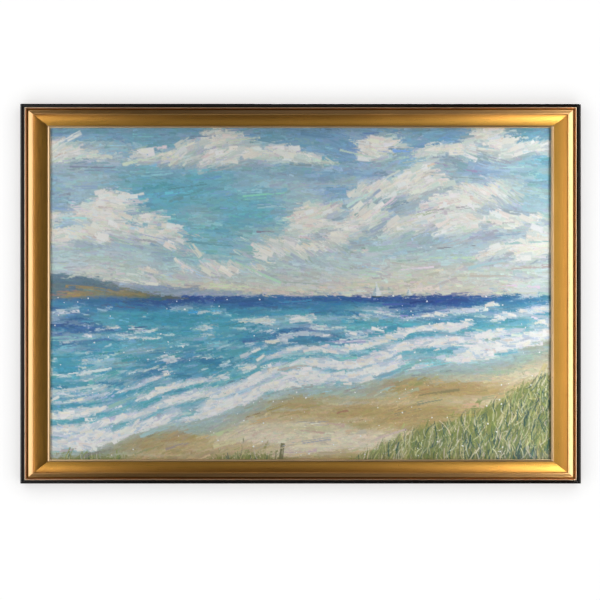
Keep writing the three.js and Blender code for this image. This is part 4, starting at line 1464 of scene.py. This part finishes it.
class SCENE_OT_stretched_canvas(bpy.types.Operator):
    """Stretches the canvas over its pine bars"""

    bl_idname = "framed_seascape.stretched_canvas"
    bl_label = "Stretched canvas"

    def execute(self, context):
        s = context.scene.framed_seascape.canvas
        cloth = piece_of("canvas_cloth", canvas_cloth(s), "painted_canvas", "canvas", finish=cloth_finish(s))
        bars = sorted(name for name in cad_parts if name.startswith("stretcher"))
        for k, name in enumerate(bars):
            low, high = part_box(name)
            upright = high.z - low.z > high.x - low.x
            set_finish(name, pine(f"pine_{name}", s, upright, (0.13 * k, 0.07 * k, 0.03 * k)))
        return {"FINISHED"}


# ---- Fixings ----------------------------------------------------------------------------------------


def wear_group():
    """Shader group: fine scuffs and dull patches, as masks from 0 to 1."""
    if "Wear" in bpy.data.node_groups:
        return bpy.data.node_groups["Wear"]
    inputs = [("Vector", "NodeSocketVector", None), ("Scale", "NodeSocketFloat", 1.0)]
    outputs = [("Scuffs", "NodeSocketFloat"), ("Dull", "NodeSocketFloat")]
    group, g, given, output = node_group("Wear", inputs, outputs)
    size = given["Scale"]
    scratched = g.noise(g.scaled(given["Vector"], (900, 900, 60)), size, 2, 0.7, 0.6)
    crossed = g.noise(g.scaled(given["Vector"], (70, 900, 900)), size, 2, 0.7, 0.6)
    both = g.most(g.ease(scratched, 0.64, 0.72), g.ease(crossed, 0.66, 0.74))
    g.feed(output.inputs[0], both)
    g.feed(output.inputs[1], g.ease(g.noise(given["Vector"], g.times(size, 120.0), 4), 0.42, 0.68))
    return group


def plated(name, colour, rough, spangle=0.0):
    """A plated metal with scuffs, dull patches and, on galvanised strip, a faint spangle."""
    made, n, shader = material(name)
    wear = n.group(wear_group(), Vector=n.position(), Scale=1.0)
    dull = wear.node.outputs[1]
    tint = n.blend(linear(colour), toned(colour, 0.72), n.times(dull, 0.7))
    if spangle:
        flakes = n.add("ShaderNodeTexVoronoi", None, 1, Vector=n.position(), Scale=420.0)
        grey = n.add("ShaderNodeSeparateXYZ", None, 0, Vector=flakes)
        tint = n.blend(tint, toned(colour, 1.25), n.times(grey, spangle))
    tint = n.blend(tint, [min(1.0, c * 1.4) for c in linear(colour)], n.times(wear, 0.5))
    n.feed(shader.inputs["Base Color"], tint)
    n.feed(shader.inputs["Roughness"], n.plus(n.times(dull, 0.18), rough))
    n.feed(shader.inputs["Normal"], n.bump(n.minus(dull, wear), 0.00003, 0.5))
    shader.inputs["Metallic"].default_value = 1.0
    return made


def soft_rubber(colour):
    """Matt rubber with a faint bloom and dust."""
    made, n, shader = material("bumper_rubber")
    wear = n.group(wear_group(), Vector=n.position(), Scale=0.7)
    bloom = wear.node.outputs[1]
    tint = n.blend(linear(colour), toned(colour, 1.5), n.times(bloom, 0.5))
    n.feed(shader.inputs["Base Color"], n.blend(tint, toned(colour, 2.0), n.times(wear, 0.4)))
    n.feed(shader.inputs["Roughness"], n.ease(bloom, 0.0, 1.0, 0.6, 0.8))
    n.feed(shader.inputs["Normal"], n.bump(n.noise(n.position(), 900.0, 3), 0.00005, 0.5))
    return made


def turned(name, outline, sides=32):
    """A solid of revolution about Y, from an outline of (radius, y) that starts and ends on the axis."""
    points, faces = [(0, outline[0][1], 0)], []
    for radius, y in outline[1:-1]:
        for k in range(sides):
            turn = math.tau * k / sides
            points.append((radius * math.cos(turn), y, radius * math.sin(turn)))
    points.append((0, outline[-1][1], 0))
    rings = len(outline) - 2
    for k in range(sides):
        j = (k + 1) % sides
        faces.append((0, 1 + k, 1 + j))
        for r in range(rings - 1):
            a, b = 1 + r * sides, 1 + (r + 1) * sides
            faces.append((a + k, b + k, b + j, a + j))
        last = 1 + (rings - 1) * sides
        faces.append((last + k, len(points) - 1, last + j))
    return mesh_of(name, points, (), faces)


def swept(name, path, widths, thickness, across):
    """A flat strip bent along path, across being the direction of its width, as a closed solid."""
    points, faces = [], []
    across = Vector(across).normalized()
    for i, at in enumerate(path):
        before, after = Vector(path[max(i - 1, 0)]), Vector(path[min(i + 1, len(path) - 1)])
        rise = across.cross((after - before).normalized())
        w, t, soft = widths[i] / 2, thickness / 2, thickness * 0.22
        for a, b in ((-w, -t + soft), (-w + soft, -t), (w - soft, -t), (w, -t + soft)):
            points.append(Vector(at) + across * a + rise * b)
        for a, b in ((w, t - soft), (w - soft, t), (-w + soft, t), (-w, t - soft)):
            points.append(Vector(at) + across * a + rise * b)
    n = 8
    for i in range(len(path) - 1):
        for k in range(n):
            j = (k + 1) % n
            faces.append((i * n + k, i * n + j, (i + 1) * n + j, (i + 1) * n + k))
    faces.append(tuple(range(n))[::-1])
    faces.append(tuple((len(path) - 1) * n + k for k in range(n)))
    mesh = mesh_of(name, points, (), faces)
    bm = bmesh.new()
    bm.from_mesh(mesh)
    bmesh.ops.recalc_face_normals(bm, faces=bm.faces)
    bm.to_mesh(mesh)
    bm.free()
    return mesh


def rounded_path(corners, radius, steps=6):
    """A path through corners with each bend rounded."""
    path = [Vector(corners[0])]
    for before, at, after in zip(corners, corners[1:], corners[2:]):
        before, at, after = Vector(before), Vector(at), Vector(after)
        a = at + (before - at).normalized() * radius
        b = at + (after - at).normalized() * radius
        path.append(a)
        path += [Vector(q) for q in curve_through(a, at, b, steps)]
    path.append(Vector(corners[-1]))
    return path


def placing_tree(name, drilled):
    """Geometry Nodes: a shape at every point, turned by the point's attribute; screws get a cross recess."""
    group, g, given, output = node_group(
        name,
        [
            ("Points", "NodeSocketGeometry", None),
            ("Shape", "NodeSocketObject", None),
            ("Recess", "NodeSocketFloat", 0.0038),
            ("Slot", "NodeSocketFloat", 0.00085),
            ("Depth", "NodeSocketFloat", 0.0012),
            ("Seed", "NodeSocketInt", 3),
            ("Finish", "NodeSocketMaterial", None),
        ],
        [("Pieces", "NodeSocketGeometry")],
        "GeometryNodeTree",
    )
    info = g.add("GeometryNodeObjectInfo", None, 0, Object=given["Shape"])
    shape = next(out for out in info.node.outputs if out.name == "Geometry")
    turn = g.add("GeometryNodeInputNamedAttribute", {"data_type": "FLOAT_VECTOR"}, 0, Name="turn")
    if drilled:
        cuts = g.add("GeometryNodeJoinGeometry")
        for size in ((given["Recess"], given["Slot"]), (given["Slot"], given["Recess"])):
            box = g.vector(x=size[0], y=g.times(given["Depth"], 2.0), z=size[1])
            g.tree.links.new(g.add("GeometryNodeMeshCube", None, 0, Size=box), cuts.node.inputs[0])
        cut = g.add("GeometryNodeMeshBoolean", {"operation": "DIFFERENCE"}, 0)
        g.feed(cut.node.inputs["Mesh 1"], shape)
        g.feed(cut.node.inputs["Mesh 2"], cuts)
        shape = cut
        turn = g.vector(y=g.random(0.0, math.tau, given["Seed"]))
    placed = g.add(
        "GeometryNodeInstanceOnPoints", None, 0, Points=given["Points"], Instance=shape, Rotation=turn
    )
    g.finish_tree(placed, given, output)
    return group


def staple_tree():
    """Geometry Nodes: a row of staples at even spacing along a path."""
    group, g, given, output = node_group(
        "Row of staples",
        [
            ("Path", "NodeSocketGeometry", None),
            ("Shape", "NodeSocketObject", None),
            ("Spacing", "NodeSocketFloat", 0.045),
            ("Tilt", "NodeSocketFloat", 0.16),
            ("Seed", "NodeSocketInt", 8),
            ("Finish", "NodeSocketMaterial", None),
        ],
        [("Staples", "NodeSocketGeometry")],
        "GeometryNodeTree",
    )
    info = g.add("GeometryNodeObjectInfo", None, 0, Object=given["Shape"])
    shape = next(out for out in info.node.outputs if out.name == "Geometry")
    path = g.add("GeometryNodeMeshToCurve", None, 0, Mesh=given["Path"])
    path = g.add("GeometryNodeResampleCurve", {"mode": "LENGTH"}, 0, Curve=path, Length=given["Spacing"])
    chance = g.random(g.times(given["Tilt"], -1.0), given["Tilt"], given["Seed"])
    heading = g.add("ShaderNodeSeparateXYZ", None, 0, Vector=g.add("GeometryNodeInputTangent"))
    x, z = heading.node.outputs[0], heading.node.outputs[2]
    facing = g.math("ARCTAN2", g.times(z, -1.0), x)
    turn = g.vector(y=g.plus(facing, chance))
    row = g.add("GeometryNodeInstanceOnPoints", None, 0, Points=path, Instance=shape, Rotation=turn)
    g.finish_tree(row, given, output)
    return group


def placed(name, shape, places, turns, tree, values):
    """The shape set at each place by a tree, as one plain mesh."""
    source = link(bpy.data.objects.new(name + "_shape", shape))
    start = mesh_of(name + "_places", places)
    start.attributes.new("turn", "FLOAT_VECTOR", "POINT").data.foreach_set("vector", np.ravel(turns))
    mesh = grown(name, start, tree, {"Shape": source, **values})
    bpy.data.objects.remove(source)
    return mesh


def nodes_named(start):
    return sorted(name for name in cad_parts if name.startswith(start))


class SCENE_OT_staples(bpy.types.Operator):
    """Drives staples into the turned-back canvas, and corrugated fasteners over the mitres"""

    bl_idname = "framed_seascape.staples"
    bl_label = "Staples and corner fasteners"

    def execute(self, context):
        s = context.scene.framed_seascape
        steel = plated("staple_wire", s.fixing.zinc, 0.32)
        crown = [(-0.005, -0.004, 0), (-0.005, 0.0003, 0), (0.005, 0.0003, 0), (0.005, -0.004, 0)]
        path = rounded_path(crown, 0.0005, 3)
        shape = swept("staple", path, [0.0011] * len(path), 0.0005, (0, 0, 1))
        out = s.canvas.turn_back * 0.55
        x, z = CANVAS_WIDTH / 2 - out, CANVAS_HEIGHT / 2 - out
        y = CANVAS_BACK + 0.0001
        ring = [(-x, y, MIDDLE.z + z), (x, y, MIDDLE.z + z), (x, y, MIDDLE.z - z), (-x, y, MIDDLE.z - z)]
        source = link(bpy.data.objects.new("staple_shape", shape))
        start = mesh_of("staple_path", ring, [(0, 1), (1, 2), (2, 3), (3, 0)])
        values = {"Shape": source, "Spacing": s.canvas.staple_spacing, "Finish": steel}
        mesh = grown("staples", start, staple_tree(), values)
        bpy.data.objects.remove(source)
        piece_of("staples", shaded(mesh, 40), "clip_steel")
        self.fasteners(s)
        return {"FINISHED"}

    def fasteners(self, s):
        """Corrugated strips driven across the mitres from behind, 0.3 mm proud."""
        length, wave = 0.024, 0.0013
        path = []
        for k in range(61):
            x = length * (k / 60 - 0.5)
            path.append((x, FRAME_BACK + 0.0003 - 0.003, wave * math.sin(x / length * math.tau * 5)))
        shape = swept("corrugated", path, [0.006] * len(path), 0.0006, (0, 1, 0))
        places, turns = [], []
        for side_x in (-1, 1):
            for side_z in (-1, 1):
                for share in (0.30, 0.62):
                    x = side_x * (FRAME_WIDTH / 2 - STILE_WIDTH * share)
                    z = MIDDLE.z + side_z * (FRAME_HEIGHT / 2 - RAIL_WIDTH * share)
                    mitre = math.atan2(RAIL_WIDTH * side_z, STILE_WIDTH * side_x)
                    places.append((x, 0, z))
                    turns.append((0, -mitre - math.pi / 2, 0))
        tree = placing_tree("Corner fasteners", False)
        values = {"Finish": plated("fastener_steel", s.fixing.steel, 0.4)}
        mesh = placed("corner_fasteners", shape, places, turns, tree, values)
        piece_of("corner_fasteners", shaded(mesh, 50), "clip_steel")


class SCENE_OT_clips(bpy.types.Operator):
    """Bends the offset clips that hold the canvas in the frame"""

    bl_idname = "framed_seascape.clips"
    bl_label = "Offset clips"

    def execute(self, context):
        s = context.scene.framed_seascape
        places, turns = [], []
        nodes = [name for name in nodes_named("clip_") if not name.startswith("clip_screw")]
        for name in nodes:
            side = SIDES.index(name.split("_")[1])
            middle = (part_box(name)[0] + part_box(name)[1]) / 2
            x = {"left": FRAME_LEFT, "right": FRAME_RIGHT}.get(SIDES[side], middle.x)
            z = {"top": FRAME_TOP, "bottom": FRAME_BOTTOM}.get(SIDES[side], middle.z)
            places.append((x, 0, z))
            turns.append((0, side * math.pi / 2, 0))
        tree = placing_tree("Offset clips", False)
        finish = plated("clip_steel", s.fixing.steel, 0.34, 0.45)
        for is_rail in (True, False):
            chosen = [
                k for k, name in enumerate(nodes) if (name.split("_")[1] in ("top", "bottom")) == is_rail
            ]
            shape = self.strip(s.moulding.rebate * (RAIL_WIDTH if is_rail else STILE_WIDTH))
            mesh = placed(
                "clips", shape, [places[k] for k in chosen], [turns[k] for k in chosen], tree,
                {"Finish": finish}
            )
            kind = "rail" if is_rail else "stile"
            piece_of(f"clips_{kind}", shaded(mesh, 45), "clip_steel", *[nodes[k] for k in chosen])
        return {"FINISHED"}

    def strip(self, rebate):
        """A clip for a rebate that deep: its foot, its step and its tongue over the canvas."""
        foot, tongue = FRAME_BACK + 0.00085, CANVAS_BACK + 0.001
        start, step, end = rebate - 0.017, rebate + 0.0003, rebate + 0.0173
        bends = [(0, foot, -start), (0, foot, -step), (0, tongue, -step - 0.0019), (0, tongue, -end)]
        bent = rounded_path(bends, 0.0009, 5)
        path = [
            Vector(bends[0]).lerp(bent[1], t) for t in (0, 0.01, 0.025, 0.05, 0.09, 0.15, 0.5)
        ] + bent[1:-1]
        path += [bent[-2].lerp(bent[-1], t) for t in (0.5, 0.85, 0.91, 0.95, 0.975, 0.99, 1)]
        widths = []
        for at in path:
            inward = min(-at.z - start, end + at.z, 0.0025)
            widths.append(0.015 - 2 * (0.0025 - math.sqrt(max(0.0025**2 - (0.0025 - inward) ** 2, 0.0))))
        return swept("clip", path, widths, 0.0014, (1, 0, 0))


class SCENE_OT_screws(bpy.types.Operator):
    """Turns the cross-headed screws of the clips and the hanger"""

    bl_idname = "framed_seascape.screws"
    bl_label = "Screws"

    def execute(self, context):
        s = context.scene.framed_seascape.fixing
        r = s.screw_head
        crown = [(r * math.sin(a), -0.0009 * (1 - math.cos(a))) for a in np.linspace(0, math.pi / 2, 8)]
        outline = crown + [
            (r, -0.0015), (r * 0.96, -0.0017), (0.0016, -0.0017), (0.0016, -0.0107), (0, -0.0147)
        ]
        nodes = nodes_named("clip_screw") + nodes_named("hanger_screw")
        places = []
        for name in nodes:
            low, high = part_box(name)
            places.append(((low.x + high.x) / 2, high.y, (low.z + high.z) / 2))
        values = {"Recess": s.recess, "Finish": plated("screw_zinc", s.zinc, 0.25)}
        blank = turned("screw_blank", outline)
        mesh = placed(
            "screws", blank, places, [(0, 0, 0)] * len(places), placing_tree("Cross-headed screws", True),
            values
        )
        piece_of("screws", shaded(mesh, 35), "screw_steel", *nodes)
        return {"FINISHED"}


class SCENE_OT_hanger(bpy.types.Operator):
    """Finishes the toothed hanger and the soft bumpers"""

    bl_idname = "framed_seascape.hanger"
    bl_label = "Hanger and bumpers"

    def execute(self, context):
        s = context.scene.framed_seascape.fixing
        set_finish("sawtooth_hanger", plated("hanger_brass", s.brass, 0.28))
        rubber = soft_rubber(s.rubber)
        for name in nodes_named("bumper"):
            set_finish(name, rubber)
        return {"FINISHED"}


OPERATORS = (
    SCENE_OT_studio_stage,
    SCENE_OT_gilt_mouldings,
    SCENE_OT_oil_painting,
    SCENE_OT_stretched_canvas,
    SCENE_OT_staples,
    SCENE_OT_clips,
    SCENE_OT_screws,
    SCENE_OT_hanger,
)
SETTINGS = (StudioSettings, MouldingSettings, PaintingSettings, CanvasSettings, FixingSettings, SceneSettings)


class SCENE_PT_framed_seascape(bpy.types.Panel):
    """Lists the steps that dress the framed seascape"""

    bl_idname = "SCENE_PT_framed_seascape"
    bl_label = "Framed Seascape"
    bl_space_type = "VIEW_3D"
    bl_region_type = "UI"
    bl_category = "Framed Seascape"

    def draw(self, context):
        for step in OPERATORS:
            self.layout.operator(step.bl_idname, text=step.bl_label)


def register():
    for made in (*SETTINGS, *OPERATORS, SCENE_PT_framed_seascape):
        bpy.utils.register_class(made)
    bpy.types.Scene.framed_seascape = PointerProperty(type=SceneSettings)


def unregister():
    del bpy.types.Scene.framed_seascape
    for made in reversed((*SETTINGS, *OPERATORS, SCENE_PT_framed_seascape)):
        bpy.utils.unregister_class(made)


def main():
    register()
    for step in OPERATORS:
        name = step.bl_idname.split(".")[1]
        getattr(bpy.ops.framed_seascape, name)()


if __name__ == "__main__":
    main()
